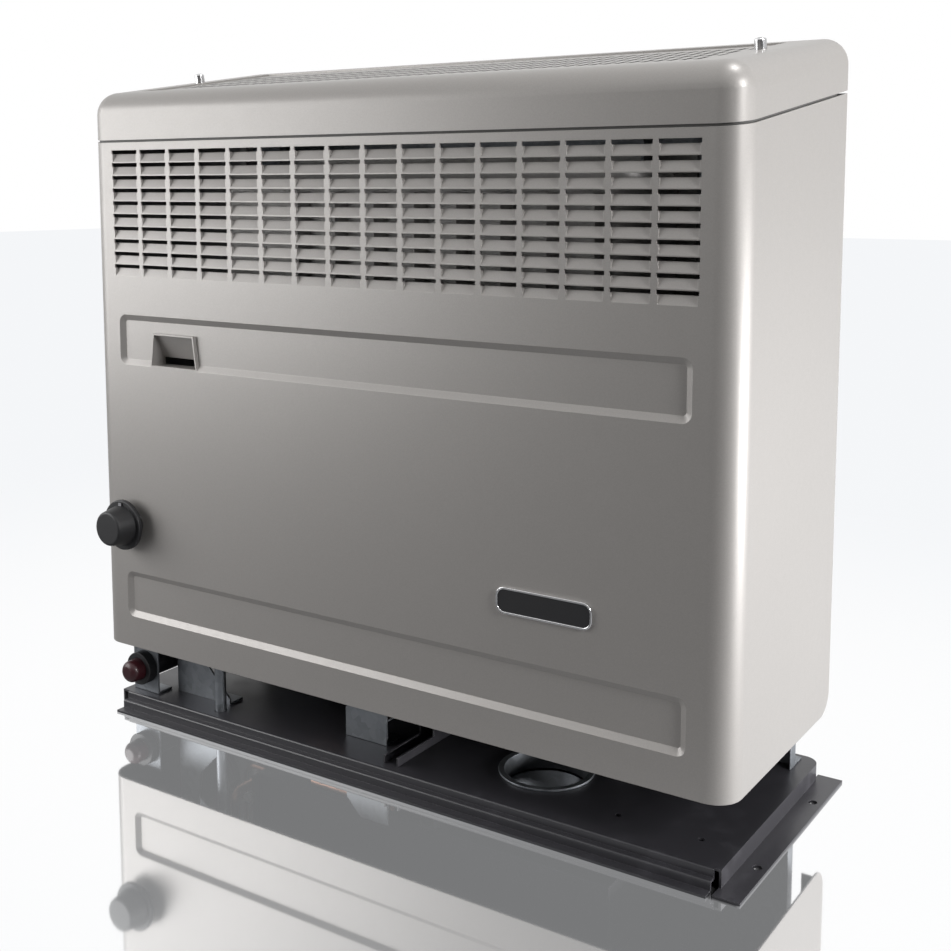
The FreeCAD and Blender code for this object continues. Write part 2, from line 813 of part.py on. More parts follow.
def channel(x, y0, y1):
    """U-channel on the deck, open underneath, that carries the burner box."""
    outer = box(x - rail_width / 2.0, x + rail_width / 2.0, y0, y1, deck_height, box_bottom)
    half_hollow = rail_width / 2.0 - rail_sheet
    inner = box(x - half_hollow, x + half_hollow, y0 - beyond, y1 + beyond, deck_height - beyond,
                box_bottom - rail_sheet)
    return outer.cut(inner)


def make_support_rail():
    """Channel under the burner box, cut down to two low walls in front of the box."""
    y0 = front + rail_front
    open_front = box(rail_x - rail_width, rail_x + rail_width, y0 - beyond, front + box_front,
                     deck_height + rail_toe_height, box_bottom + beyond)
    return channel(rail_x, y0, front + box_back).cut(open_front)


def make_sight():
    """Frame and glass of the flame window in the exchanger's front."""
    y = front + exchanger_front
    z = box_top + sight_rise
    out = V(0, -sight_frame_thickness, 0)
    seat = V(sight_x, y, z)
    frame = rod(sight_frame_radius, seat, seat + out)
    lip = sight_frame_thickness - sight_glass_thickness
    frame = frame.cut([rod(sight_glass_radius, seat + past, seat + V(0, -sight_glass_thickness, 0)),
                       rod(sight_glass_radius - lip / 2.0, seat, seat + out * 2.0)])
    glass = rod(sight_glass_radius, seat, seat + V(0, -sight_glass_thickness, 0))
    return frame, glass


def make_flue():
    """Flue spigot and its gasket on the exchanger's back."""
    y = front + exchanger_back + rib_rise
    z = exchanger_top - flue_drop
    seat = V(flue_x, y, z)
    end = V(flue_x, front + base_back - flue_end_gap, z)
    face = seat + V(0, flue_gasket, 0)
    bore = rod(flue_radius - flue_wall, seat - past, end + past)
    gasket = rod(flue_flange_radius, seat, face).cut(bore)
    spigot = rod(flue_radius, face, end)
    spigot = spigot.fuse(rod(flue_flange_radius, face, face + V(0, flue_flange, 0))).cut(bore)
    return spigot, gasket


def make_rear_shield():
    """Heat shield behind the exchanger, on the deck, with side folds and a hole for the flue."""
    w = half - rear_return - shield_side_gap
    y0 = front + exchanger_back + rib_rise + flue_gasket + flue_flange + shield_gap
    y1 = y0 + sheet
    z1 = seam_z(y0) + shield_over
    pieces = [box(-w, w, y0, y1 + shield_foot, deck_height, deck_height + sheet)]
    for x in (-w, w - sheet):
        pieces.append(box(x, x + sheet, y0 - shield_fold, y1, deck_height, z1))
    place = V(flue_x, y0, exchanger_top - flue_drop)
    hole = rod(flue_radius + shield_flue_gap, place - past, place + V(0, sheet, 0) + past)
    return box(-w, w, y0, y1, deck_height, z1).fuse(pieces).removeSplitter().cut(hole)


def make_valve():
    """Gas valve body, its bonnet, the bonnet's screws."""
    y0 = front + valve_front
    y1 = y0 + valve_depth
    w = valve_width / 2.0
    body = box(knob_x - w, knob_x + w, y0, y1, knob_height - valve_rise, knob_height + valve_rise)
    body = body.makeFillet(valve_edge, [e for e in body.Edges if e.CenterOfMass.y > y0 + beyond])
    inlet = V(knob_x, front + inlet_depth, knob_height - valve_rise)
    outlet = V(knob_x + w, front + outlet_depth, knob_height - outlet_drop)
    rear = V(knob_x, y1, knob_height)
    top = V(knob_x + capillary_boss_offset, front + capillary_boss_depth, knob_height + valve_rise)
    bosses = [rod(boss_radius, inlet + V(0, 0, valve_edge), inlet - V(0, 0, boss_length)),
              rod(boss_radius, outlet - V(valve_edge, 0, 0), outlet + V(boss_length, 0, 0)),
              rod(boss_radius, rear - V(0, valve_edge, 0), rear + V(0, boss_length, 0)),
              rod(capillary_boss_radius, top - V(0, 0, valve_edge), top + V(0, 0, capillary_boss_length))]
    chamber_end = front + sleeve_back + shoulder_gap + spindle_shoulder_length + spindle_tail + knob_press
    chamber = rod(chamber_radius, V(knob_x, y0 - beyond, knob_height),
                  V(knob_x, chamber_end + chamber_spare, knob_height))
    body = body.fuse(bosses).cut(chamber)
    mouth = V(knob_x, y0, knob_height)
    bonnet_face = mouth - V(0, bonnet_thickness, 0)
    bonnet = rod(bonnet_radius, bonnet_face, mouth)
    bonnet = bonnet.cut(rod(sleeve_radius + running_clearance, bonnet_face - past, mouth + past))
    screws = []
    for side in (1, -1):
        reach = side * valve_screw_pitch_radius / math.sqrt(2.0)
        seat = bonnet_face + V(reach, 0, reach)
        tip = seat + V(0, bonnet_thickness + valve_screw_length, 0)
        hole = rod(valve_screw_radius + screw_clearance, seat - past, tip)
        body = body.cut(hole)
        bonnet = bonnet.cut(hole)
        head = rod(valve_screw_head_radius, seat, seat - V(0, valve_screw_head, 0))
        screws.append(rod(valve_screw_radius, seat, tip).fuse(head))
    return body, bonnet, Part.Compound(screws)


def make_valve_bracket():
    """Sheet bracket from the deck to the underside of the gas valve."""
    y0 = front + valve_bracket_depth
    y1 = y0 + base_sheet
    x0 = left + valve_bracket_left
    valve_bottom = knob_height - valve_rise
    valve_right = knob_x + valve_width / 2.0
    points = [(x0, deck_height), (left + valve_bracket_toe, deck_height),
              (left + valve_bracket_toe, deck_height + valve_bracket_toe_height),
              (left + valve_bracket_knee, valve_bracket_knee_height), (valve_right, valve_bottom),
              (x0, valve_bottom)]
    plate = prism_y(points, y0, y1)
    tab = box(knob_x - valve_width / 2.0 + valve_edge, valve_right, y0,
              front + valve_front + valve_depth - valve_edge, valve_bottom - base_sheet, valve_bottom)
    tab = tab.cut(rod(boss_radius + screw_clearance, V(knob_x, front + inlet_depth, 0.0),
                      V(knob_x, front + inlet_depth, knob_height)))
    foot = box(left + valve_bracket_knee, left + valve_bracket_toe, y1, y1 + valve_bracket_foot, deck_height,
               deck_height + base_sheet)
    return plate.fuse([tab, foot])


def make_knob():
    """Tapered control knob with a skirt and a raised pointer, turned about the spindle's axis."""
    tip = -knob_reach
    rear = -knob_gap
    face = rear - knob_skirt
    profile = [V(0, tip, 0), V(knob_grip_end, tip, 0), V(knob_grip_root, face, 0),
               V(knob_skirt_radius, face, 0), V(knob_skirt_radius, rear, 0), V(0, rear, 0)]
    knob = polygon(profile).revolve(V(0, 0, 0), V(0, 1, 0), 360)
    for radius, y, edge in ((knob_grip_end, tip, knob_edge), (knob_skirt_radius, face, knob_rim_edge)):
        rims = [e for e in knob.Edges
                if e.Closed and abs(e.BoundBox.XLength - 2.0 * radius) < running_clearance and
                abs(e.CenterOfMass.y - y) < running_clearance]
        knob = knob.makeFillet(edge, rims)
    pointer = box(-knob_pointer_width / 2.0, knob_pointer_width / 2.0, face - knob_pointer_rise, face,
                  knob_grip_end, knob_skirt_radius - knob_pointer_margin)
    knob = knob.fuse(pointer).translated(V(knob_x, front, knob_height))
    return knob.cut(rod(spindle_radius, V(knob_x, front + tip + knob_blind, knob_height),
                        V(knob_x, front, knob_height)))


def make_spindle():
    """Knob spindle with its shoulder behind the pusher sleeve."""
    start = V(knob_x, front - knob_reach + knob_blind, knob_height)
    shoulder = V(knob_x, front + sleeve_back + shoulder_gap, knob_height)
    shoulder_end = shoulder + V(0, spindle_shoulder_length, 0)
    return rod(spindle_radius, start, shoulder_end + V(0, spindle_tail, 0)).fuse(
        rod(spindle_shoulder, shoulder, shoulder_end))


def make_sleeve():
    """Pusher sleeve that slides in the bonnet when the knob is pressed."""
    start = V(knob_x, front + sleeve_front, knob_height)
    end = V(knob_x, front + sleeve_back, knob_height)
    collar = rod(sleeve_collar_radius, start, start + V(0, sleeve_collar, 0))
    bore = rod(spindle_radius + running_clearance, start - past, end + past)
    return rod(sleeve_radius, start, end).fuse(collar).cut(bore)


def make_pipes():
    """Gas inlet pipe, burner feed pipe and their union nuts."""
    inlet_x = knob_x
    inlet_y = front + inlet_depth
    inlet = bent_pipe([V(inlet_pipe_x, front + inlet_pipe_depth, inlet_pipe_bottom),
                       V(inlet_pipe_x, front + inlet_pipe_depth, inlet_pipe_level),
                       V(inlet_x, inlet_y, inlet_pipe_level), V(inlet_x, inlet_y, inlet_boss_end)],
                      inlet_pipe_radius, inlet_pipe_bend)
    inlet_nut = union_nut(V(inlet_x, inlet_y, inlet_boss_end), V(0, 0, -1), inlet_pipe_radius)
    outlet = V(knob_x + valve_width / 2.0 + boss_length, front + outlet_depth, knob_height - outlet_drop)
    drop_x = outlet.x + feed_drop_gap
    burner_z = box_bottom + burner_drop
    injector_end = -box_half_width - end_plate - injector_length
    feed = bent_pipe([outlet, V(drop_x, outlet.y, outlet.z), V(drop_x, outlet.y, burner_z),
                      V(drop_x, front + burner_depth, burner_z),
                      V(injector_end, front + burner_depth, burner_z)], feed_pipe_radius, feed_pipe_bend)
    return inlet, inlet_nut, feed


def union_nut(end, outward, pipe_radius):
    """Hexagonal union nut on a pipe's end."""
    nut = hexagon_bar(union_across, end, end + outward * union_length)
    return nut.cut(rod(pipe_radius + union_clearance, end - outward * beyond,
                       end + outward * (union_length + beyond)))


def make_injector():
    """Gas injector on the burner's end plate."""
    y = front + burner_depth
    z = box_bottom + burner_drop
    x1 = -box_half_width - end_plate
    return hexagon_bar(2.0 * injector_radius, V(x1 - injector_length, y, z), V(x1, y, z))


def make_probe():
    """Thermocouple: probe through the end plate and its lead to the valve's rear boss."""
    y = front + probe_depth
    z = box_bottom + probe_rise
    x_plate = -box_half_width
    start = V(x_plate - end_plate - probe_outside, y, z)
    probe = rod(probe_radius, start, V(x_plate + probe_inside, y, z))
    rear = front + valve_front + valve_depth + boss_length
    lead = bent_pipe([start, V(knob_x, y, z), V(knob_x, front + probe_lead_back, knob_height),
                      V(knob_x, rear, knob_height)], probe_lead_radius, probe_lead_bend)
    return probe.fuse(lead)


def make_electrode():
    """Ignition electrode: ceramic sleeve and bare tip."""
    y = front + electrode_depth
    z = box_bottom + probe_rise
    x_plate = -box_half_width
    ceramic = rod(electrode_radius, V(x_plate - end_plate - electrode_outside, y, z),
                  V(x_plate + electrode_inside, y, z))
    tip = rod(electrode_tip_radius, V(x_plate + electrode_inside, y, z),
              V(x_plate + electrode_inside + electrode_tip, y, z))
    return ceramic.fuse(tip)


def make_lead():
    """Ignition lead from the igniter's rear stub to the electrode."""
    stub_end = front + igniter_plate_depth + base_sheet + igniter_body_length + igniter_stub_length
    z = box_bottom + probe_rise
    y = front + electrode_depth
    loop = front + lead_loop_depth
    x_end = -box_half_width - end_plate - electrode_outside
    turn = left + lead_turn_from_left
    return bent_pipe([V(igniter_x, stub_end, igniter_height), V(igniter_x, loop, igniter_height),
                      V(turn, loop, z), V(turn, y, z), V(x_end, y, z)], lead_radius, lead_bend)


def make_sensor():
    """Thermostat sensor: bracket on the deck, bulb and capillary."""
    x1 = sensor_plate_right
    x0 = x1 - sensor_plate_width
    y0 = front + sensor_plate_depth
    y1 = y0 + base_sheet
    top = deck_height + sensor_plate_height
    points = [(x0, deck_height), (x1, deck_height), (x1, top), (x0 + sensor_plate_chamfer, top),
              (x0, top - sensor_plate_chamfer)]
    plate = prism_y(points, y0, y1)
    seat = sensor_bulb_level - sensor_bulb_radius - sensor_seat_gap
    shelf = box(x0, x1, y0, y1 + sensor_tab, seat - base_sheet, seat)
    foot = box(x0, x1, y0, y1 + sensor_tab, deck_height, deck_height + base_sheet)
    bracket = plate.fuse([shelf, foot])
    y = front + sensor_bulb_depth
    z = sensor_bulb_level
    bulb = rod(sensor_bulb_radius, V(sensor_bulb_left, y, z), V(sensor_bulb_right, y, z))
    boss_x = knob_x + capillary_boss_offset
    boss_top = knob_height + valve_rise + capillary_boss_length
    over = boss_top + capillary_over
    rise = left + capillary_rise_from_left
    capillary = bent_pipe([V(sensor_bulb_left, y, z), V(rise, y, z), V(rise, y, over), V(boss_x, y, over),
                           V(boss_x, y, boss_top)], capillary_radius, capillary_bend)
    return bracket, bulb, capillary


def make_igniter():
    """Piezo igniter: bracket, body, collar nut and push button."""
    y0 = front + igniter_plate_depth
    y1 = y0 + base_sheet
    x0 = left + igniter_plate_left
    x1 = x0 + igniter_plate_width
    axis = V(igniter_x, 0, igniter_height)

    def at(y):
        return axis + V(0, y, 0)
    hole = rod(button_radius + running_clearance, at(y0 - beyond), at(y1 + beyond))
    plate = box(x0, x1, y0, y1, deck_height, deck_height + igniter_plate_height)
    foot = box(x0, x1, y1, y1 + igniter_foot, deck_height, deck_height + base_sheet)
    bracket = plate.fuse(foot).cut(hole)
    body_end = y1 + igniter_body_length
    body = rod(igniter_body_radius, at(y1), at(body_end))
    body = body.fuse(rod(igniter_stub_radius, at(body_end), at(body_end + igniter_stub_length)))
    button_rear = y0 - button_press + button_rear_gap
    stem_end = button_rear + button_stem_length + button_press
    body = body.cut(rod(button_stem_radius + running_clearance, at(y1 - beyond),
                        at(stem_end + button_rear_gap)))
    nut = rod(igniter_nut_radius, at(y0 - igniter_nut_length), at(y0))
    nut = nut.cut(rod(button_radius + running_clearance, at(y0 - 2.0 * igniter_nut_length), at(y0 + beyond)))
    button = rod(button_radius, at(front + button_tip), at(button_rear))
    nose = [e for e in button.Edges if e.Closed and e.CenterOfMass.y < front]
    button = button.makeFillet(button_nose, nose)
    button = button.fuse(rod(button_stem_radius, at(button_rear), at(stem_end - button_press)))
    return bracket, body, nut, button


sight_frame, sight_glass = make_sight()
flue_spigot, flue_seal = make_flue()
gas_valve, valve_bonnet, valve_screws = make_valve()
inlet_pipe, inlet_union, feed_pipe = make_pipes()
sensor_bracket, sensor_bulb, sensor_capillary = make_sensor()
igniter_bracket, igniter_body, igniter_nut, igniter_button = make_igniter()


nodes = {
    "base_plate": make_base(),
    "casing": make_casing(),
    "top_cap": make_cap(),
    "top_grille": make_grille(),
    "cap_screws": make_cap_screws(),
    "cap_bracket_left": make_cap_bracket(-1),
    "cap_bracket_right": make_cap_bracket(1),
    "heat_exchanger_front": make_exchanger_front(),
    "heat_exchanger_rear": make_exchanger_rear(),
    "sight_frame": sight_frame,
    "sight_glass": sight_glass,
    "burner_box": make_burner_box(),
    "burner_end_plate": make_end_plate(),
    "burner_tube": make_burner(),
    "burner_injector": make_injector(),
    "ignition_electrode": make_electrode(),
    "thermocouple": make_probe(),
    "flue_spigot": flue_spigot,
    "flue_gasket": flue_seal,
    "rear_shield": make_rear_shield(),
    "air_intake_collar": make_intake_collar(),
    "support_rail": make_support_rail(),
    "support_foot_left": channel(foot_left_inset - box_half_width, foot_back - foot_length, foot_back),
    "support_foot_right": channel(box_half_width - foot_right_inset, foot_back - foot_length, foot_back),
    "gas_valve": gas_valve,
    "valve_bonnet": valve_bonnet,
    "valve_screws": valve_screws,
    "valve_bracket": make_valve_bracket(),
    "gas_inlet_pipe": inlet_pipe,
    "inlet_union_nut": inlet_union,
    "burner_feed_pipe": feed_pipe,
    "sensor_bracket": sensor_bracket,
    "sensor_bulb": sensor_bulb,
    "sensor_capillary": sensor_capillary,
    "igniter_bracket": igniter_bracket,
    "igniter_body": igniter_body,
    "igniter_nut": igniter_nut,
    "ignition_lead": make_lead(),
    "pusher_sleeve": make_sleeve(),
    "valve_spindle": make_spindle(),
    "control_knob": make_knob(),
    "igniter_button": igniter_button,
}

for node, shape in nodes.items():
    save(shape, node)
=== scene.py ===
import json
import logging
import math
from dataclasses import dataclass
from enum import Enum
from typing import Any, Dict, List, Optional, Sequence, Tuple, Union

import bmesh
import bpy
from mathutils import Euler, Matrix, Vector


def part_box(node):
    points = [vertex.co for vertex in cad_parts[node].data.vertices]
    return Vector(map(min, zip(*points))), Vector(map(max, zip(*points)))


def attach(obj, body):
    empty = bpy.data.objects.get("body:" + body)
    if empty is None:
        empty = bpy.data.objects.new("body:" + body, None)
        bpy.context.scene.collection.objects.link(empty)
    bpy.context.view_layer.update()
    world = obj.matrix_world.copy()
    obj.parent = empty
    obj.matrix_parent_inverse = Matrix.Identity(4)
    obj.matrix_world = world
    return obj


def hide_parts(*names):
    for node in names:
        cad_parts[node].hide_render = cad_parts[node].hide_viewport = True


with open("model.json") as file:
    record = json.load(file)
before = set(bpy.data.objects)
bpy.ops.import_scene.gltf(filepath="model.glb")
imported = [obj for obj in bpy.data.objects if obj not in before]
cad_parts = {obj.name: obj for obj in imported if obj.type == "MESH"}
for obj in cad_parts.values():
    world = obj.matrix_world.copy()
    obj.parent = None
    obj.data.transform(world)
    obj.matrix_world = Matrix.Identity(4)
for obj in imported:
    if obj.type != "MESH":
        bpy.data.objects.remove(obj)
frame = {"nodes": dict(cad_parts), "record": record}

# Looks of a caravan gas heater, in metres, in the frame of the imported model.
# X runs across the front, Y from front to back, Z up from the floor.

LOG = logging.getLogger("heater")
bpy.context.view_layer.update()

MM = 0.001
Colour = Tuple[float, float, float]
Point = Tuple[float, float, float]
Outline = List[Tuple[float, float]]
Number = Union["Wire", float]


class Body(Enum):
    """The bodies that the added pieces ride on."""

    HEATER = "heater"
    KNOB = "knob"
    BUTTON = "igniter_button"


class Axis(Enum):
    """An axis of the frame, for a grain's direction or a place."""

    X = 0
    Y = 1
    Z = 2


class Layout(Enum):
    """How a repeated form is set out."""

    ROW = "row"
    RING = "ring"


class Form(Enum):
    """The small form that is repeated."""

    DOME = "dome"
    PRISM = "prism"


class Wire:
    """An output socket of a node tree that can be used in arithmetic."""

    def __init__(self, tree: "NodeTree", socket: bpy.types.NodeSocket) -> None:
        """Keep the tree and the socket."""
        self.tree = tree
        self.socket = socket

    def _math(self, operation: str, first: Number, second: Number) -> "Wire":
        """Add one Math node."""
        return self.tree.add("ShaderNodeMath", {"operation": operation}, {0: first, 1: second})

    def __add__(self, other: Number) -> "Wire":
        """Sum of two values."""
        return self._math("ADD", self, other)

    __radd__ = __add__

    def __sub__(self, other: Number) -> "Wire":
        """Difference of two values."""
        return self._math("SUBTRACT", self, other)

    def __rsub__(self, other: Number) -> "Wire":
        """Difference with this value taken away."""
        return self._math("SUBTRACT", other, self)

    def __mul__(self, other: Number) -> "Wire":
        """Product of two values."""
        return self._math("MULTIPLY", self, other)

    __rmul__ = __mul__

    def most(self, other: Number) -> "Wire":
        """The larger of two values."""
        return self._math("MAXIMUM", self, other)


class NodeTree:
    """A node tree that is made by short calls."""

    def __init__(self, tree: bpy.types.NodeTree) -> None:
        """Start with an empty tree.

        Args:
            tree: the tree to fill, which loses the nodes that it has.
        """
        self.nodes = tree.nodes
        self.links = tree.links
        self.nodes.clear()

    def add(self, kind: str, settings: Optional[Dict[str, Any]] = None,
            inputs: Optional[Dict[Union[str, int], Any]] = None, output: Union[str, int] = 0) -> Wire:
        """Add a node.

        Args:
            kind: the node's type.
            settings: the node's properties, set first; "stops" holds a ramp's stops.
            inputs: values or wires for its sockets, by name or place.
            output: the output socket to hand back.

        Returns:
            The chosen output as a wire.
        """
        node = self.nodes.new(kind)
        for key, value in (settings or {}).items():
            if key == "stops":
                self._set_stops(node.color_ramp, value)
            else:
                setattr(node, key, value)
        for key, value in (inputs or {}).items():
            if isinstance(value, Wire):
                self.links.new(value.socket, node.inputs[key])
            else:
                node.inputs[key].default_value = value
        return Wire(self, node.outputs[output] if len(node.outputs) else None)

    @staticmethod
    def _set_stops(ramp: bpy.types.ColorRamp, stops: Sequence[Tuple[float, Colour]]) -> None:
        """Give a colour ramp its stops.

        Args:
            ramp: the ramp to fill.
            stops: places from 0 to 1, each with its colour.
        """
        while len(ramp.elements) < len(stops):
            ramp.elements.new(1.0)
        for element, (place, colour) in zip(ramp.elements, stops):
            element.position = place
            element.color = (*colour, 1.0)

    def between(self, value: Number, low: float, high: float, start: float, end: float) -> Wire:
        """A value moved smoothly from one range to another, held at the ends."""
        return self.add("ShaderNodeMapRange", {"interpolation_type": "SMOOTHSTEP"},
                        {"Value": value, "From Min": low, "From Max": high, "To Min": start, "To Max": end})

    def mix(self, factor: Number, first: Any, second: Any) -> Wire:
        """A colour between two colours.

        Args:
            factor: 0 for the first colour, 1 for the second.
            first: a colour or a wire.
            second: a colour or a wire.

        Returns:
            The mixed colour.
        """
        one = first if isinstance(first, Wire) else (*first, 1.0)
        two = second if isinstance(second, Wire) else (*second, 1.0)
        return self.add("ShaderNodeMix", {"data_type": "RGBA"}, {0: factor, 6: one, 7: two}, output=2)

    def seen(self) -> Wire:
        """Tell the rays that show the surroundings to the eye from those that light things.

        Returns:
            1 for rays that come straight, mirrored or through glass, 0 for others.
        """
        camera = self.add("ShaderNodeLightPath", output="Is Camera Ray")
        mirrored = self.add("ShaderNodeLightPath", output="Is Glossy Ray")
        through = self.add("ShaderNodeLightPath", output="Is Transmission Ray")
        return camera.most(mirrored).most(through)


class ShaderTree(NodeTree):
    """A material's node tree with a surface shader."""

    def __init__(self, name: str) -> None:
        """Start an empty material.

        Args:
            name: the material's name.
        """
        self.material = bpy.data.materials.new(name)
        self.material.use_nodes = True
        super().__init__(self.material.node_tree)

    def place(self, stretch: Colour = (1.0, 1.0, 1.0)) -> Wire:
        """Object coordinates, stretched for each axis."""
        coords = self.add("ShaderNodeTexCoord", output="Object")
        return self.add("ShaderNodeMapping", inputs={"Vector": coords, "Scale": stretch})

    def along(self, axis: Axis) -> Wire:
        """Object position along one axis."""
        coords = self.add("ShaderNodeTexCoord", output="Object")
        return self.add("ShaderNodeSeparateXYZ", inputs={0: coords}, output=axis.value)

    def noise(self, scale: float, detail: float = 3.0, stretch: Colour = (1.0, 1.0, 1.0)) -> Wire:
        """Noise value between 0 and 1."""
        return self.add("ShaderNodeTexNoise",
                        inputs={"Vector": self.place(stretch), "Scale": scale, "Detail": detail})

    def cells(self, scale: float) -> Wire:
        """A random value for each small cell."""
        colour = self.add("ShaderNodeTexVoronoi", inputs={"Vector": self.place(), "Scale": scale},
                          output="Color")
        return self.add("ShaderNodeSeparateColor", inputs={0: colour})

    def bump(self, height: Wire, strength: float, distance: float) -> Wire:
        """A normal that follows a height."""
        return self.add("ShaderNodeBump",
                        inputs={"Height": height, "Strength": strength, "Distance": distance})

    def close(self, inputs: Dict[str, Any]) -> bpy.types.Material:
        """Add the surface shader and the output.

        Args:
            inputs: values or wires of the surface shader.

        Returns:
            The finished material.
        """
        surface = self.add("ShaderNodeBsdfPrincipled", inputs=inputs)
        self.add("ShaderNodeOutputMaterial", inputs={"Surface": surface})
        return self.material


@dataclass(frozen=True)
class Finish:
    """A finish: its name, its colour and how rough it is."""

    name: str
    colour: Colour
    roughness: float

    def material(self) -> bpy.types.Material:
        """Make the finish's material."""
        raise NotImplementedError

    def shade(self, factor: float) -> Colour:
        """The finish's colour made lighter or darker."""
        return tuple(min(1.0, c * factor) for c in self.colour)


@dataclass(frozen=True)
class MetallicPaint(Finish):
    """Sprayed satin paint with fine metal flake and a thin clear coat."""

    metallic: float = 0.28
    coat: float = 0.12
    coat_roughness: float = 0.22
    flake_scale: float = 2600.0
    flake_contrast: float = 0.06
    flake_share: float = 0.7
    cloud_scale: float = 9.0
    cloud_share: float = 0.3
    rough_scale: float = 240.0
    rough_spread: float = 0.1
    peel_scale: float = 420.0
    peel_strength: float = 0.12
    peel: float = 0.00004

    def material(self) -> bpy.types.Material:
        """Make the paint.

        Returns:
            The finished material.
        """
        tree = ShaderTree(self.name)
        flakes = tree.cells(self.flake_scale) * self.flake_share
        tone = flakes + tree.noise(self.cloud_scale) * self.cloud_share
        colour = tree.mix(tone, self.shade(1.0 - self.flake_contrast), self.shade(1.0 + self.flake_contrast))
        smoothest = self.roughness - self.rough_spread / 2.0
        roughness = smoothest + tree.noise(self.rough_scale) * self.rough_spread
        normal = tree.bump(tree.noise(self.peel_scale, 1.0), self.peel_strength, self.peel)
        return tree.close({"Base Color": colour, "Metallic": self.metallic, "Roughness": roughness,
                           "Normal": normal, "Coat Weight": self.coat, "Coat Roughness": self.coat_roughness})


@dataclass(frozen=True)
class Enamel(Finish):
    """Semi-gloss baked paint with a slight orange peel and a little dust."""

    dust: float = 0.3
    dust_scale: float = 60.0
    dust_from: float = 0.5
    dust_to: float = 0.75
    dust_shade: float = 2.0
    dust_rough: float = 0.3
    fine_scale: float = 700.0
    fine_rough: float = 0.06
    peel_scale: float = 520.0
    peel_strength: float = 0.2
    peel: float = 0.00006
    coat: float = 0.1
    coat_roughness: float = 0.2

    def material(self) -> bpy.types.Material:
        """Make the paint.

        Returns:
            The finished material.
        """
        tree = ShaderTree(self.name)
        dust = tree.between(tree.noise(self.dust_scale, 5.0), self.dust_from, self.dust_to, 0.0, self.dust)
        colour = tree.mix(dust, self.colour, self.shade(self.dust_shade))
        roughness = self.roughness + dust * self.dust_rough + tree.noise(self.fine_scale) * self.fine_rough
        normal = tree.bump(tree.noise(self.peel_scale, 2.0), self.peel_strength, self.peel)
        return tree.close({"Base Color": colour, "Metallic": 0.0, "Roughness": roughness, "Normal": normal,
                           "Coat Weight": self.coat, "Coat Roughness": self.coat_roughness})


@dataclass(frozen=True)
class Brushed(Finish):
    """Bare metal with a fine grain along one axis and a slight bloom."""

    grain: Axis = Axis.X
    grain_scale: float = 900.0
    contrast: float = 0.16
    scratch: float = 0.00003
    tarnish: Colour = (0.3, 0.26, 0.22)
    bloom: float = 0.15
    grain_stretch: float = 0.03
    grain_rough: float = 0.14
    scratch_strength: float = 0.15
    bloom_scale: float = 35.0
    bloom_from: float = 0.45
    bloom_to: float = 0.75
    bloom_rough: float = 0.4

    def material(self) -> bpy.types.Material:
        """Make the metal.

        Returns:
            The finished material.
        """
        tree = ShaderTree(self.name)
        stretch = [1.0, 1.0, 1.0]
        stretch[self.grain.value] = self.grain_stretch
        lines = tree.noise(self.grain_scale, 2.0, tuple(stretch))
        spots = tree.noise(self.bloom_scale, 4.0)
        bloom = tree.between(spots, self.bloom_from, self.bloom_to, 0.0, self.bloom)
        toned = tree.mix(lines, self.shade(1.0 - self.contrast), self.shade(1.0 + self.contrast))
        colour = tree.mix(bloom, toned, self.tarnish)
        roughness = self.roughness + lines * self.grain_rough + bloom * self.bloom_rough
        normal = tree.bump(lines, self.scratch_strength, self.scratch)
        return tree.close({"Base Color": colour, "Metallic": 1.0, "Roughness": roughness, "Normal": normal})


@dataclass(frozen=True)
class Galvanised(Finish):
    """Zinc-plated sheet with soft spangles."""

    spangle_scale: float = 190.0
    spangle_share: float = 0.6
    streak_scale: float = 300.0
    streak_share: float = 0.4
    dark: float = 0.78
    light: float = 1.2
    rough_spread: float = 0.16
    grit_strength: float = 0.12
    grit: float = 0.00004
    metallic: float = 0.9

    def material(self) -> bpy.types.Material:
        """Make the sheet.

        Returns:
            The finished material.
        """
        tree = ShaderTree(self.name)
        streak = tree.noise(self.streak_scale, 4.0)
        tone = tree.cells(self.spangle_scale) * self.spangle_share + streak * self.streak_share
        colour = tree.mix(tone, self.shade(self.dark), self.shade(self.light))
        roughness = self.roughness + tone * self.rough_spread
        normal = tree.bump(streak, self.grit_strength, self.grit)
        return tree.close({"Base Color": colour, "Metallic": self.metallic, "Roughness": roughness,
                           "Normal": normal})


@dataclass(frozen=True)
class HeatTintedShaded(Finish):
    """Aluminised steel sheet with brown and blue-grey heat tints that turns near black towards the bottom;
    that dark low part is partly heat tint and partly painted shade for the shaded space under the casing.
    """

    dark_height: float = 0.10
    light_height: float = 0.36
    hot_and_shaded: Colour = (0.05, 0.048, 0.055)
    warm: Colour = (0.10, 0.08, 0.07)
    mild: Colour = (0.24, 0.205, 0.17)
    warm_stop: float = 0.28
    mild_stop: float = 0.52
    cool_stop: float = 0.85
    streak_scale: float = 16.0
    streak_stretch: Colour = (1.0, 1.0, 0.35)
    streak_reach: float = 0.11
    fine_scale: float = 700.0
    fine_share: float = 0.3
    fine_shade: float = 0.55
    rough_spread: float = 0.18
    grit_strength: float = 0.15
    grit: float = 0.00005
    metallic: float = 0.8

    def material(self) -> bpy.types.Material:
        """Make the sheet.

        Returns:
            The finished material.
        """
        tree = ShaderTree(self.name)
        streak = tree.noise(self.streak_scale, 5.0, self.streak_stretch)
        height = tree.along(Axis.Z) + streak * self.streak_reach
        # Darker towards the bottom: partly heat tint, partly painted shade under the casing.
        lightened = tree.between(height, self.dark_height, self.light_height, 0.0, 1.0)
        stops = ((0.0, self.hot_and_shaded), (self.warm_stop, self.warm), (self.mild_stop, self.mild),
                 (self.cool_stop, self.colour))
        tint = tree.add("ShaderNodeValToRGB", {"stops": stops}, {0: lightened})
        fine = tree.noise(self.fine_scale, 3.0)
        colour = tree.mix(fine * self.fine_share, tint, self.shade(self.fine_shade))
        roughness = self.roughness + fine * self.rough_spread
        normal = tree.bump(fine, self.grit_strength, self.grit)
        return tree.close({"Base Color": colour, "Metallic": self.metallic, "Roughness": roughness,
                           "Normal": normal})


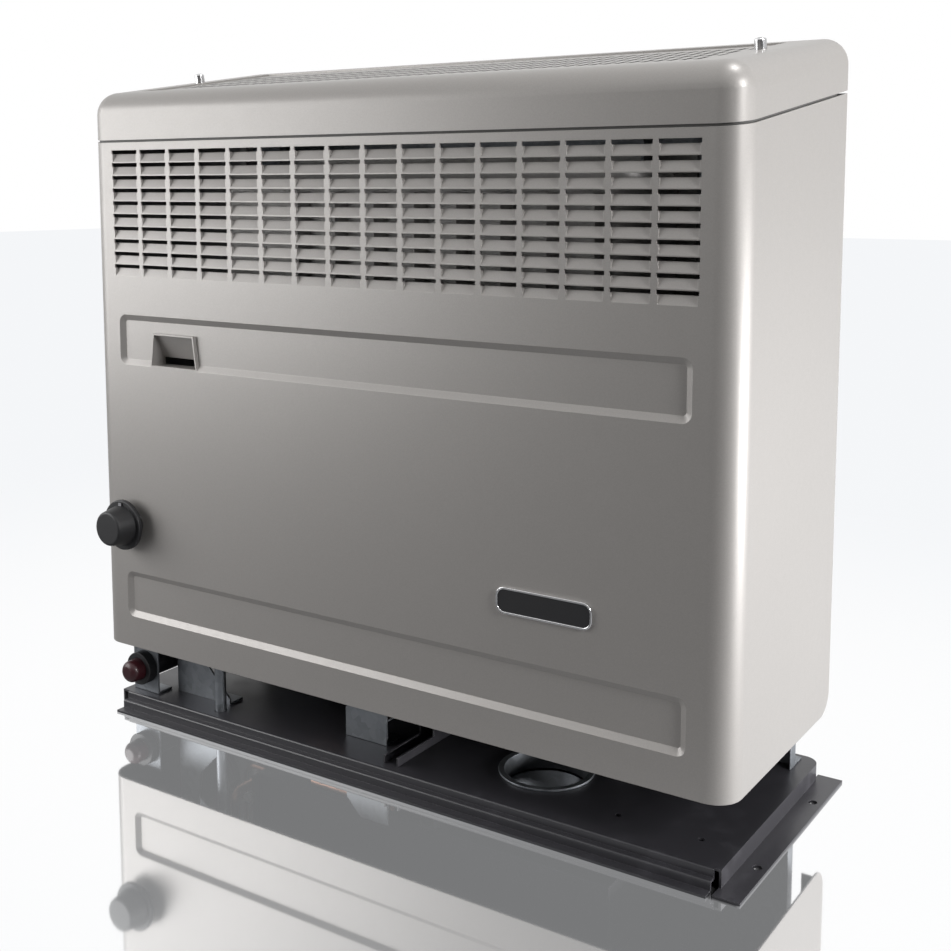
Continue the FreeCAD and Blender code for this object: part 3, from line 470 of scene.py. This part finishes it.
@dataclass(frozen=True)
class Moulded(Finish):
    """Moulded plastic or rubber with a fine spark-eroded grain."""

    grain_scale: float = 1600.0
    grain: float = 0.00008
    worn: float = 1.8
    coat: float = 0.0
    worn_scale: float = 70.0
    worn_share: float = 0.35
    rough_spread: float = 0.12
    grain_strength: float = 0.25

    def material(self) -> bpy.types.Material:
        """Make the plastic.

        Returns:
            The finished material.
        """
        tree = ShaderTree(self.name)
        fine = tree.noise(self.grain_scale, 2.0)
        colour = tree.mix(tree.noise(self.worn_scale) * self.worn_share, self.colour, self.shade(self.worn))
        roughness = self.roughness + fine * self.rough_spread
        normal = tree.bump(fine, self.grain_strength, self.grain)
        return tree.close({"Base Color": colour, "Metallic": 0.0, "Roughness": roughness, "Normal": normal,
                           "Coat Weight": self.coat})


@dataclass(frozen=True)
class Glass(Finish):
    """Clear glass with a faint smoky bloom."""

    bloom_scale: float = 120.0
    bloom_shade: float = 0.8
    rough_spread: float = 0.1
    clear: float = 0.9
    bending: float = 1.5

    def material(self) -> bpy.types.Material:
        """Make the glass.

        Returns:
            The finished material.
        """
        tree = ShaderTree(self.name)
        bloom = tree.noise(self.bloom_scale, 4.0)
        colour = tree.mix(bloom, self.colour, self.shade(self.bloom_shade))
        return tree.close({"Base Color": colour, "Roughness": self.roughness + bloom * self.rough_spread,
                           "Transmission Weight": self.clear, "IOR": self.bending})


FINISHES: Dict[str, Finish] = {
    "casing_paint": MetallicPaint("casing_paint", (0.40, 0.382, 0.366), 0.42),
    "base_paint": Enamel("base_paint", (0.041, 0.040, 0.046), 0.32),
    "bright_steel": Brushed("bright_steel", (0.78, 0.78, 0.79), 0.12, bloom=0.05, contrast=0.06),
    "exchanger_steel": HeatTintedShaded("exchanger_steel", (0.40, 0.39, 0.38), 0.45),
    "zinc_sheet": Galvanised("zinc_sheet", (0.25, 0.265, 0.285), 0.38),
    "valve_casting": Brushed("valve_casting", (0.50, 0.50, 0.51), 0.42, grain_scale=500.0, contrast=0.1),
    "brass": Brushed("brass", (0.72, 0.55, 0.27), 0.24, Axis.Z, tarnish=(0.36, 0.24, 0.12)),
    "copper": Brushed("copper", (0.48, 0.28, 0.20), 0.30, Axis.Z, tarnish=(0.2, 0.12, 0.09), bloom=0.5),
    "ceramic": Moulded("ceramic", (0.86, 0.85, 0.80), 0.22, worn=0.9, coat=0.4),
    "black_plastic": Moulded("black_plastic", (0.013, 0.013, 0.0145), 0.44),
    "red_plastic": Moulded("red_plastic", (0.034, 0.005, 0.008), 0.32, coat=0.1),
    "seal": Moulded("seal", (0.05, 0.05, 0.052), 0.6),
    "window_glass": Glass("window_glass", (0.9, 0.93, 0.93), 0.03),
}
# Dark enamel used as painted shade: on the casing's inward faces, on the walls of the grille's slots, and on
# the cap's tongue and inside.
CASING_PAINTED_SHADE = Enamel("casing_painted_shade", (0.085, 0.083, 0.080), 0.6)
POINTER_INK = Moulded("pointer_ink", (0.26, 0.26, 0.275), 0.5)


class Wardrobe:
    """Makes each finish's material once and dresses nodes and pieces."""

    def __init__(self) -> None:
        """Make a material for every slot of the record."""
        self.materials = {slot: finish.material() for slot, finish in FINISHES.items()}
        self.slots = {row["node"]: row["material_slot"] for row in frame["record"]["subparts"]}

    def dress_nodes(self) -> None:
        """Give every node of the frame the material of its slot."""
        for name, slot_name in self.slots.items():
            for slot in frame["nodes"][name].material_slots:
                slot.material = self.materials[slot_name]
            LOG.info("%s wears %s", name, slot_name)

    def dress(self, piece: bpy.types.Object, slot: str, extra: Sequence[Finish] = ()) -> None:
        """Give a piece one slot's material, and further finishes after it.

        Args:
            piece: the piece to dress.
            slot: the record's slot.
            extra: finishes for the places after the first.
        """
        piece.data.materials.clear()
        piece.data.materials.append(self.materials[slot])
        for finish in extra:
            piece.data.materials.append(finish.material())


class Workshop:
    """Makes pieces: softened copies of nodes, plates from outlines and repeated small forms."""

    weld = 1e-6
    flat_angle = math.radians(1.5)
    edge_angle = math.radians(16.0)
    edge_steps = 2
    corner_steps = 8
    dome_rings = 6

    def __init__(self, wardrobe: Wardrobe) -> None:
        """Keep the wardrobe."""
        self.wardrobe = wardrobe
        self.trees: Dict[Tuple[Layout, Form], bpy.types.NodeTree] = {}

    @staticmethod
    def _object(name: str, mesh: bpy.types.Mesh) -> bpy.types.Object:
        """An object at the origin for a mesh."""
        piece = bpy.data.objects.new(name, mesh)
        bpy.context.scene.collection.objects.link(piece)
        return piece

    @staticmethod
    def _apply(piece: bpy.types.Object) -> None:
        """Turn a piece and its modifiers into one plain mesh."""
        graph = bpy.context.evaluated_depsgraph_get()
        mesh = bpy.data.meshes.new_from_object(piece.evaluated_get(graph))
        piece.modifiers.clear()
        piece.data = mesh

    def _round_edges(self, piece: bpy.types.Object, radius: float) -> None:
        """Round a piece's sharp edges and keep its flat faces flat.

        Args:
            piece: the piece, with a closed mesh.
            radius: how far the rounding reaches from an edge.
        """
        bevel = piece.modifiers.new("edges", "BEVEL")
        bevel.width = radius
        bevel.segments = self.edge_steps
        bevel.limit_method = "ANGLE"
        bevel.angle_limit = self.edge_angle
        weld = piece.modifiers.new("weld", "WELD")
        weld.merge_threshold = self.weld
        normals = piece.modifiers.new("normals", "WEIGHTED_NORMAL")
        normals.keep_sharp = True
        piece.data.shade_smooth()
        piece.data.set_sharp_from_angle(angle=self.edge_angle)
        self._apply(piece)

    def soften(self, node: str, radius: float, body: Body = Body.HEATER,
               extra: Sequence[Finish] = ()) -> bpy.types.Object:
        """Replace a node by a copy with rounded edges.

        Args:
            node: the node's name.
            radius: how far the rounding reaches from an edge.
            body: the body that the node is on.
            extra: finishes after the slot's own.

        Returns:
            The piece that stands for the node.
        """
        mesh = frame["nodes"][node].data.copy()
        work = bmesh.new()
        work.from_mesh(mesh)
        bmesh.ops.remove_doubles(work, verts=work.verts, dist=self.weld)
        bmesh.ops.dissolve_limit(work, angle_limit=self.flat_angle, verts=work.verts, edges=work.edges)
        work.to_mesh(mesh)
        work.free()
        piece = self._object(node + "_piece", mesh)
        self._round_edges(piece, radius)
        self.wardrobe.dress(piece, self.wardrobe.slots[node], extra)
        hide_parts(node)
        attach(piece, body.value)
        LOG.info("%s softened, %d faces", node, len(piece.data.polygons))
        return piece

    def rounded(self, width: float, height: float, corner: float) -> Outline:
        """The outline of a rectangle with round corners.

        Args:
            width: size along X.
            height: size along Z.
            corner: radius of the corners.

        Returns:
            Points (x, z) about the middle, anticlockwise seen from the front.
        """
        points = []
        for quarter, (sx, sz) in enumerate(((1, 1), (-1, 1), (-1, -1), (1, -1))):
            for step in range(self.corner_steps + 1):
                turn = math.pi / 2.0 * (quarter + step / self.corner_steps)
                points.append((sx * (width / 2.0 - corner) + corner * math.cos(turn),
                               sz * (height / 2.0 - corner) + corner * math.sin(turn)))
        return points

    def plate(self, name: str, outer: Outline, inner: Optional[Outline], place: Point, thick: float,
              edge: float, slot: str, body: Body = Body.HEATER,
              extra: Sequence[Finish] = ()) -> bpy.types.Object:
        """A flat plate or frame that faces the front.

        Args:
            name: the piece's name.
            outer: its outline.
            inner: the outline of its opening, with as many points, or None.
            place: the middle of its back face.
            thick: its thickness, towards the front.
            edge: the rounding of its edges.
            slot: the record's slot that it takes its finish from.
            body: the body that it rides on.
            extra: finishes after the slot's own.

        Returns:
            The piece.
        """
        work = bmesh.new()

        def ring(outline: Outline, depth: float) -> List[bmesh.types.BMVert]:
            """The points of an outline at a depth in front of the place."""
            return [work.verts.new((place[0] + x, place[1] - depth, place[2] + z)) for x, z in outline]

        loops = [ring(outer, 0.0), ring(outer, thick)]
        if inner is None:
            work.faces.new(loops[1])
            work.faces.new(list(reversed(loops[0])))
            pairs = [(0, 1)]
        else:
            loops += [ring(inner, thick), ring(inner, 0.0)]
            pairs = [(0, 1), (1, 2), (2, 3), (3, 0)]
        count = len(outer)
        for low, high in pairs:
            for i in range(count):
                j = (i + 1) % count
                work.faces.new((loops[low][i], loops[low][j], loops[high][j], loops[high][i]))
        bmesh.ops.recalc_face_normals(work, faces=work.faces)
        mesh = bpy.data.meshes.new(name)
        work.to_mesh(mesh)
        work.free()
        piece = self._object(name, mesh)
        self._round_edges(piece, edge)
        self.wardrobe.dress(piece, slot, extra)
        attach(piece, body.value)
        LOG.info("%s added", name)
        return piece

    def _repeat_tree(self, layout: Layout, form: Form) -> bpy.types.NodeTree:
        """The tree that repeats a form.

        Args:
            layout: along a row or round a ring.
            form: dome or prism.

        Returns:
            The tree, made once for each pair.
        """
        if (layout, form) in self.trees:
            return self.trees[layout, form]
        group = bpy.data.node_groups.new(form.value + "_" + layout.value, "GeometryNodeTree")
        group.interface.new_socket("Geometry", in_out="OUTPUT", socket_type="NodeSocketGeometry")
        for label, kind in (("Count", "Int"), ("Span", "Float"), ("Radius", "Float"), ("Height", "Float"),
                            ("Sides", "Int"), ("Place", "Vector"), ("Turn", "Vector"),
                            ("Material", "Material")):
            group.interface.new_socket(label, in_out="INPUT", socket_type="NodeSocket" + kind)
        tree = NodeTree(group)
        tree.add("NodeGroupInput")
        source = group.nodes[0]
        given = {socket.name: Wire(tree, socket) for socket in source.outputs if socket.name}
        if layout is Layout.ROW:
            pitch = tree.add("ShaderNodeCombineXYZ", inputs={0: given["Span"]})
            points = tree.add("GeometryNodeMeshLine", {"mode": "OFFSET"},
                              {"Count": given["Count"], "Offset": pitch})
        else:
            points = tree.add("GeometryNodeMeshCircle", None,
                              {"Vertices": given["Count"], "Radius": given["Span"]})
        if form is Form.DOME:
            ball = tree.add("GeometryNodeMeshUVSphere", None,
                            {"Segments": given["Sides"], "Rings": self.dome_rings, "Radius": 1.0})
            scale = tree.add("ShaderNodeCombineXYZ",
                             inputs={0: given["Radius"], 1: given["Radius"], 2: given["Height"]})
            shape = tree.add("GeometryNodeTransform", None, {"Geometry": ball, "Scale": scale})
            shape = tree.add("GeometryNodeSetShadeSmooth", None, {"Geometry": shape})
        else:
            shape = tree.add("GeometryNodeMeshCylinder", None,
                             {"Vertices": given["Sides"], "Radius": given["Radius"],
                              "Depth": given["Height"]})
        copies = tree.add("GeometryNodeInstanceOnPoints", None, {"Points": points, "Instance": shape})
        placed = tree.add("GeometryNodeTransform", None,
                          {"Geometry": copies, "Translation": given["Place"], "Rotation": given["Turn"]})
        real = tree.add("GeometryNodeRealizeInstances", None, {"Geometry": placed})
        dressed = tree.add("GeometryNodeSetMaterial", None, {"Geometry": real, "Material": given["Material"]})
        tree.add("NodeGroupOutput", None, {"Geometry": dressed})
        self.trees[layout, form] = group
        return group

    def repeat(self, name: str, layout: Layout, form: Form, sizes: Dict[str, Any], slot: str) -> None:
        """A row or ring of small forms as one piece on the heater.

        Args:
            name: the piece's name.
            layout: along a row or round a ring.
            form: dome or prism.
            sizes: values for the tree's named inputs.
            slot: the record's slot that it takes its finish from.
        """
        group = self._repeat_tree(layout, form)
        piece = self._object(name, bpy.data.meshes.new(name))
        modifier = piece.modifiers.new("repeat", "NODES")
        modifier.node_group = group
        values = dict(sizes, Material=self.wardrobe.materials[slot])
        for socket in group.interface.items_tree:
            if socket.in_out == "INPUT":
                modifier[socket.identifier] = values[socket.name]
        self._apply(piece)
        self.wardrobe.dress(piece, slot)
        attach(piece, Body.HEATER.value)
        LOG.info("%s added, %d faces", name, len(piece.data.polygons))


UPRIGHT = (0.0, 0.0, 0.0)
FACING_BACK = (-math.pi / 2.0, 0.0, 0.0)
UP_THE_BACK = (-math.pi / 2.0, -math.pi / 2.0, 0.0)


@dataclass
class Casing:
    """Louvred front sheet with painted shade on its inside and a bare name plate."""

    edge: float = 0.45 * MM
    inside_lean: float = -0.3
    wall_share: float = 0.93
    plate_x: float = 129.0 * MM
    plate_z: float = 143.0 * MM
    plate_width: float = 64.0 * MM
    plate_height: float = 16.0 * MM
    plate_corner: float = 6.0 * MM
    rim_width: float = 1.3 * MM
    rim_thick: float = 1.5 * MM
    rim_edge: float = 0.3 * MM
    field_thick: float = 0.9 * MM
    field_edge: float = 0.2 * MM

    def build(self, shop: Workshop) -> None:
        """Make the sheet and its plate.

        Args:
            shop: the workshop that makes the pieces.
        """
        sheet = shop.soften("casing", self.edge, extra=(CASING_PAINTED_SHADE,))
        self._paint_inside_shade(sheet)
        self._name_plate(shop)

    def _paint_inside_shade(self, sheet: bpy.types.Object) -> None:
        """Give the faces that look inwards the dark enamel as painted shade.

        Args:
            sheet: the softened casing.
        """
        _, (right, _, _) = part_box("casing")
        wall = right * self.wall_share
        for face in sheet.data.polygons:
            across = face.center[0]
            lean = face.normal.x * math.copysign(1.0, across) if abs(across) > wall else -face.normal.y
            # Faces that look inwards take the second material, which is painted shade.
            if lean < self.inside_lean:
                face.material_index = 1

    def _name_plate(self, shop: Workshop) -> None:
        """A bare plate in a bright rim.

        Args:
            shop: the workshop that makes the pieces.
        """
        (_, front, _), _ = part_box("casing")
        place = (self.plate_x, front, self.plate_z)
        outer = shop.rounded(self.plate_width, self.plate_height, self.plate_corner)
        inner = shop.rounded(self.plate_width - 2.0 * self.rim_width,
                             self.plate_height - 2.0 * self.rim_width, self.plate_corner - self.rim_width)
        shop.plate("name_plate_rim", outer, inner, place, self.rim_thick, self.rim_edge, "bright_steel")
        shop.plate("name_plate_field", inner, None, place, self.field_thick, self.field_edge, "black_plastic")


@dataclass
class Cap:
    """Sloping cap, its slotted grille and the sockets of its screws."""

    edge: float = 0.35 * MM
    grille_edge: float = 0.3 * MM
    socket_radius: float = 1.6 * MM
    socket_height: float = 0.2 * MM
    socket_count: int = 2
    socket_sides: int = 6
    socket_place: Point = (-219.0 * MM, 7.483 * MM, 466.883 * MM)
    slope: float = math.radians(9.0)
    seam_height: float = 414.0 * MM
    seam_gap: float = 1.5 * MM
    wall_lean: float = 0.6
    inside_lean: float = -0.5

    def build(self, shop: Workshop) -> None:
        """Make cap, grille and sockets.

        Args:
            shop: the workshop that makes the pieces.
        """
        cover = shop.soften("top_cap", self.edge, extra=(CASING_PAINTED_SHADE,))
        self._shade_seam(cover)
        grille = shop.soften("top_grille", self.grille_edge, extra=(CASING_PAINTED_SHADE,))
        self._shade_slots(grille)
        shop.soften("cap_bracket_left", self.edge)
        shop.soften("cap_bracket_right", self.edge)
        shop.repeat("cap_screw_sockets", Layout.ROW, Form.PRISM,
                    {"Count": self.socket_count, "Span": -2.0 * self.socket_place[0],
                     "Radius": self.socket_radius, "Height": self.socket_height, "Sides": self.socket_sides,
                     "Place": self.socket_place, "Turn": (self.slope, 0.0, 0.0)}, "black_plastic")

    def _shade_slots(self, grille: bpy.types.Object) -> None:
        """Give the walls of the grille's slots the dark enamel as painted shade, so that the slots read as
        dark dashes.

        Args:
            grille: the softened grille.
        """
        square = Vector((0.0, -math.sin(self.slope), math.cos(self.slope)))
        for face in grille.data.polygons:
            # Slot walls take painted shade.
            if abs(face.normal.dot(square)) < self.wall_lean:
                face.material_index = 1

    def _shade_seam(self, cover: bpy.types.Object) -> None:
        """Give the tongue behind the seam and the cap's inside the dark enamel as painted shade, so that the
        seam reads as a dark line.

        Args:
            cover: the softened cap.
        """
        (_, front, _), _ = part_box("casing")
        for face in cover.data.polygons:
            seam = self.seam_height + (face.center[1] - front) * math.tan(self.slope)
            # The tongue below the seam and the downward-facing inside take painted shade.
            if face.center[2] < seam + self.seam_gap or face.normal.z < self.inside_lean:
                face.material_index = 1


@dataclass
class Base:
    """Folded base plate with rail, feet and brackets."""

    fold_edge: float = 0.6 * MM
    sheet_edge: float = 0.35 * MM

    def build(self, shop: Workshop) -> None:
        """Soften the sheets.

        Args:
            shop: the workshop that makes the pieces.
        """
        shop.soften("base_plate", self.fold_edge)
        for node in ("support_rail", "support_foot_left", "support_foot_right", "valve_bracket",
                     "sensor_bracket", "igniter_bracket", "air_intake_collar"):
            shop.soften(node, self.sheet_edge)


@dataclass
class Works:
    """Heat exchanger, burner box, flue and rear shield with their screws and rivets."""

    edge: float = 0.4 * MM
    screw_radius: float = 3.0 * MM
    screw_height: float = 1.6 * MM
    screw_sides: int = 16
    screw_count: int = 5
    screw_pitch: float = 90.0 * MM
    foot_y: float = 87.5 * MM
    foot_z: float = 13.2 * MM
    rivet_radius: float = 2.4 * MM
    rivet_height: float = 0.9 * MM
    rivet_sides: int = 14
    rivet_count: int = 7
    rivet_x: float = 219.0 * MM
    rivet_low: float = 36.0 * MM
    rivet_pitch: float = 64.0 * MM
    flue_x: float = 105.0 * MM
    flue_z: float = 336.0 * MM
    ring_radius: float = 37.0 * MM
    ring_count: int = 6
    shield_y: float = 81.2 * MM

    def build(self, shop: Workshop) -> None:
        """Soften the shells and fasten the shield.

        Args:
            shop: the workshop that makes the pieces.
        """
        for node in ("heat_exchanger_front", "heat_exchanger_rear", "burner_box", "burner_end_plate",
                     "flue_spigot", "gas_valve", "rear_shield"):
            shop.soften(node, self.edge)
        self._fasten_shield(shop)

    def _fasten_shield(self, shop: Workshop) -> None:
        """Screws along the shield's foot, rivets up its sides and round the flue.

        Args:
            shop: the workshop that makes the pieces.
        """
        screw = {"Radius": self.screw_radius, "Height": self.screw_height, "Sides": self.screw_sides}
        rivet = {"Radius": self.rivet_radius, "Height": self.rivet_height, "Sides": self.rivet_sides}
        start = -0.5 * self.screw_pitch * (self.screw_count - 1)
        shop.repeat("shield_foot_screws", Layout.ROW, Form.DOME,
                    dict(screw, Count=self.screw_count, Span=self.screw_pitch, Turn=UPRIGHT,
                         Place=(start, self.foot_y, self.foot_z)), "bright_steel")
        for side, x in (("left", -self.rivet_x), ("right", self.rivet_x)):
            shop.repeat("shield_rivets_" + side, Layout.ROW, Form.DOME,
                        dict(rivet, Count=self.rivet_count, Span=self.rivet_pitch, Turn=UP_THE_BACK,
                             Place=(x, self.shield_y, self.rivet_low)), "zinc_sheet")
        shop.repeat("flue_rivets", Layout.RING, Form.DOME,
                    dict(rivet, Count=self.ring_count, Span=self.ring_radius, Turn=FACING_BACK,
                         Place=(self.flue_x, self.shield_y, self.flue_z)), "zinc_sheet")


@dataclass
class Controls:
    """Softened knob, its printed mark and the igniter's nut and button."""

    edge: float = 0.35 * MM
    ink_place: Point = (-213.0 * MM, -86.5 * MM, 159.2 * MM)
    ink_width: float = 2.8 * MM
    ink_height: float = 2.4 * MM
    ink_corner: float = 0.4 * MM
    ink_thick: float = 0.1 * MM
    ink_edge: float = 0.03 * MM

    def build(self, shop: Workshop) -> None:
        """Make the knob and its mark, the nut and the button.

        Args:
            shop: the workshop that makes the pieces.
        """
        shop.soften("control_knob", self.edge, Body.KNOB)
        shop.soften("igniter_nut", self.edge)
        shop.soften("igniter_button", self.edge, Body.BUTTON)
        outline = shop.rounded(self.ink_width, self.ink_height, self.ink_corner)
        mark = shop.plate("knob_mark", outline, None, self.ink_place, self.ink_thick, self.ink_edge,
                          "black_plastic", Body.KNOB, (POINTER_INK,))
        for face in mark.data.polygons:
            face.material_index = 1


@dataclass(frozen=True)
class Lamp:
    """A soft lamp: where it stands, what it points at, its width and height and its power in watts."""

    name: str
    place: Point
    target: Point
    size: Tuple[float, float]
    power: float

    def hang(self) -> None:
        """Put the lamp up, out of the camera's sight."""
        data = bpy.data.lights.new(self.name, "AREA")
        data.shape = "RECTANGLE"
        data.size, data.size_y = self.size
        data.energy = self.power
        lamp = bpy.data.objects.new(self.name, data)
        lamp.location = self.place
        lamp.rotation_euler = (Vector(self.target) - Vector(self.place)).to_track_quat("-Z", "Y").to_euler()
        lamp.visible_camera = False
        bpy.context.scene.collection.objects.link(lamp)


LAMPS = (
    Lamp("left_lamp", (-0.78, -0.56, 0.45), (-0.22, -0.08, 0.34), (0.75, 0.6), 6.2),
    Lamp("right_lamp", (1.05, 0.22, 0.11), (0.245, 0.0, 0.03), (0.6, 0.2), 8.4),
    Lamp("corner_lamp", (1.50, -0.40, 0.85), (0.24, -0.07, 0.44), (0.3, 0.4), 13.0),
    Lamp("top_lamp", (0.50, 0.0, 1.65), (0.22, -0.05, 0.45), (0.35, 0.35), 8.0),
)


@dataclass
class Studio:
    """Floor, world, lamps and camera."""

    floor_half: float = 9.0
    floor_colour: Colour = (0.16, 0.16, 0.165)
    floor_white: Colour = (0.965, 0.98, 1.0)
    near_mirror: float = 0.80
    mirror_rough: float = 0.04
    mirror_way: Point = (0.35, -0.94, 0.0)
    mirror_ends: float = 0.80
    mirror_full: float = 0.90
    fade_from: float = 0.05
    fade_to: float = 0.75
    # How far the painted shadow under the base plate starts in from the plate's left end.
    footprint_shadow_inset: float = 0.026
    under_edge: float = 0.003
    shadow_reach: float = 0.25
    shadow_samples: int = 4
    floor_glow: float = 0.94
    front_glow: float = 0.10
    dim_slant: float = 0.3
    dim_from: float = -0.3
    dim_to: float = 0.15
    room_dim: float = 0.05
    room_from: float = -0.45
    room_to: float = 0.25
    backdrop: float = 0.60
    backdrop_from: float = -0.1
    backdrop_to: float = 0.3
    ceiling: float = 0.8
    ceiling_from: float = 0.10
    ceiling_to: float = 0.5
    even_light: float = 0.06
    camera_place: Point = (0.4944, -0.7062, 0.3835)
    camera_turn: float = 33.202
    camera_pitch: float = 6.4
    lens: float = 49.351
    sensor: float = 36.0
    shift_y: float = -0.15

    def build(self) -> None:
        """Make the whole studio."""
        self._floor()
        self._world()
        for lamp in LAMPS:
            lamp.hang()
        self._camera()

    def _floor(self) -> None:
        """A wide floor at the heater's foot."""
        mesh = bpy.data.meshes.new("floor")
        half = self.floor_half
        mesh.from_pydata([(-half, -half, 0), (half, -half, 0), (half, half, 0), (-half, half, 0)], [],
                         [(0, 1, 2, 3)])
        floor = bpy.data.objects.new("floor", mesh)
        bpy.context.scene.collection.objects.link(floor)
        mesh.materials.append(self._floor_look())

    def _floor_look(self) -> bpy.types.Material:
        """A pale glowing floor that mirrors the heater softly from the front; painted shadows dim its glow
        near the heater when seen from elsewhere, and under the base plate.

        Returns:
            The floor's material.
        """
        tree = ShaderTree("floor")
        matt = tree.add("ShaderNodeBsdfDiffuse", inputs={"Color": (*self.floor_colour, 1.0)})
        glow = tree.add("ShaderNodeEmission", inputs={"Color": (*self.floor_white, 1.0), "Strength": 1.0})
        mirror = tree.add("ShaderNodeBsdfGlossy",
                          inputs={"Color": (1.0, 1.0, 1.0, 1.0), "Roughness": self.mirror_rough})
        camera = tree.add("ShaderNodeLightPath", output="Is Camera Ray")
        behind = tree.along(Axis.Y) + tree.along(Axis.X) * self.dim_slant
        mirrored = tree.between(behind, self.dim_from, self.dim_to, self.front_glow, 1.0)
        from_front = self._from_front(tree)
        # Painted shadow: for viewers at the sides or behind, ambient occlusion dims the floor's glow near the
        # heater.
        open_sky = tree.add("ShaderNodeAmbientOcclusion", {"samples": self.shadow_samples},
                            {"Distance": self.shadow_reach}, output="AO")
        clear_of_painted_contact_shadow = 1.0 - camera * (1.0 - from_front) * (1.0 - open_sky)
        away = self._offset(tree, Axis.X).most(self._offset(tree, Axis.Y))
        # Painted shadow: the floor's glow is taken away under the base plate's footprint, so the dim matt
        # floor shows there.
        bare = tree.between(away, -self.under_edge, 0.0, 0.0, 1.0)
        shown = tree.seen() * camera.most(mirrored) * self.floor_glow * bare * clear_of_painted_contact_shadow
        pale = tree.add("ShaderNodeMixShader", inputs={0: shown, 1: matt, 2: glow})
        near = tree.between(away, self.fade_from, self.fade_to, self.near_mirror, 0.0)
        surface = tree.add("ShaderNodeMixShader", inputs={0: camera * near * from_front, 1: pale, 2: mirror})
        tree.add("ShaderNodeOutputMaterial", inputs={"Surface": surface})
        return tree.material

    def _from_front(self, tree: ShaderTree) -> Wire:
        """Tell a viewer before the heater's front from one at its sides or behind it.

        Args:
            tree: the floor's tree.

        Returns:
            1 for a viewer in front, 0 for another.
        """
        eye = tree.add("ShaderNodeVectorTransform",
                       {"vector_type": "POINT", "convert_from": "CAMERA", "convert_to": "WORLD"},
                       {"Vector": (0.0, 0.0, 0.0)})
        level = tree.add("ShaderNodeVectorMath", {"operation": "MULTIPLY"}, {0: eye, 1: (1.0, 1.0, 0.0)})
        way = tree.add("ShaderNodeVectorMath", {"operation": "NORMALIZE"}, {0: level})
        facing = tree.add("ShaderNodeVectorMath", {"operation": "DOT_PRODUCT"}, {0: way, 1: self.mirror_way},
                          output="Value")
        return tree.between(facing, self.mirror_ends, self.mirror_full, 0.0, 1.0)

    def _offset(self, tree: ShaderTree, axis: Axis) -> Wire:
        """How far a place on the floor lies outside the base plate along one axis.

        Args:
            tree: the floor's tree.
            axis: the axis to look along.

        Returns:
            The distance, negative under the plate.
        """
        low, high = (corner[axis.value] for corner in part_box("base_plate"))
        low += self.footprint_shadow_inset if axis is Axis.X else 0.0
        off = tree.along(axis) - (low + high) / 2.0
        return off.most(off * -1.0) - (high - low) / 2.0

    def _world(self) -> None:
        """White behind the heater, a dimmer room in front, and a weak even light."""
        world = bpy.data.worlds.new("studio")
        bpy.context.scene.world = world
        world.use_nodes = True
        tree = NodeTree(world.node_tree)
        way = tree.add("ShaderNodeTexCoord", output="Generated")
        back = tree.add("ShaderNodeSeparateXYZ", inputs={0: way}, output="Y")
        right = tree.add("ShaderNodeSeparateXYZ", inputs={0: way}, output="X")
        up = tree.add("ShaderNodeSeparateXYZ", inputs={0: way}, output="Z")
        room = tree.between(back, self.room_from, self.room_to, self.room_dim, 1.0)
        wall = room * tree.between(right, self.backdrop_from, self.backdrop_to, 1.0, self.backdrop)
        mirrored = wall.most(tree.between(up, self.ceiling_from, self.ceiling_to, 0.0, self.ceiling))
        camera = tree.add("ShaderNodeLightPath", output="Is Camera Ray")
        shown = tree.seen() * camera.most(mirrored)
        strength = shown.most(self.even_light)
        background = tree.add("ShaderNodeBackground",
                              inputs={"Color": (1.0, 1.0, 1.0, 1.0), "Strength": strength})
        tree.add("ShaderNodeOutputWorld", inputs={"Surface": background})

    def _camera(self) -> None:
        """The camera at the photograph's viewing angle."""
        data = bpy.data.cameras.new("camera")
        data.lens = self.lens
        data.sensor_width = self.sensor
        data.shift_y = self.shift_y
        camera = bpy.data.objects.new("camera", data)
        camera.location = self.camera_place
        tilt = math.radians(90.0 - self.camera_pitch)
        camera.rotation_euler = Euler((tilt, 0.0, math.radians(self.camera_turn)))
        bpy.context.scene.collection.objects.link(camera)
        bpy.context.scene.camera = camera


def main() -> None:
    """Build the pieces in order."""
    logging.basicConfig(level=logging.INFO, format="%(name)s: %(message)s")
    bpy.context.scene.view_settings.view_transform = "Standard"
    wardrobe = Wardrobe()
    wardrobe.dress_nodes()
    shop = Workshop(wardrobe)
    for assembly in (Casing(), Cap(), Base(), Works(), Controls()):
        assembly.build(shop)
    Studio().build()


if __name__ == "__main__":
    main()
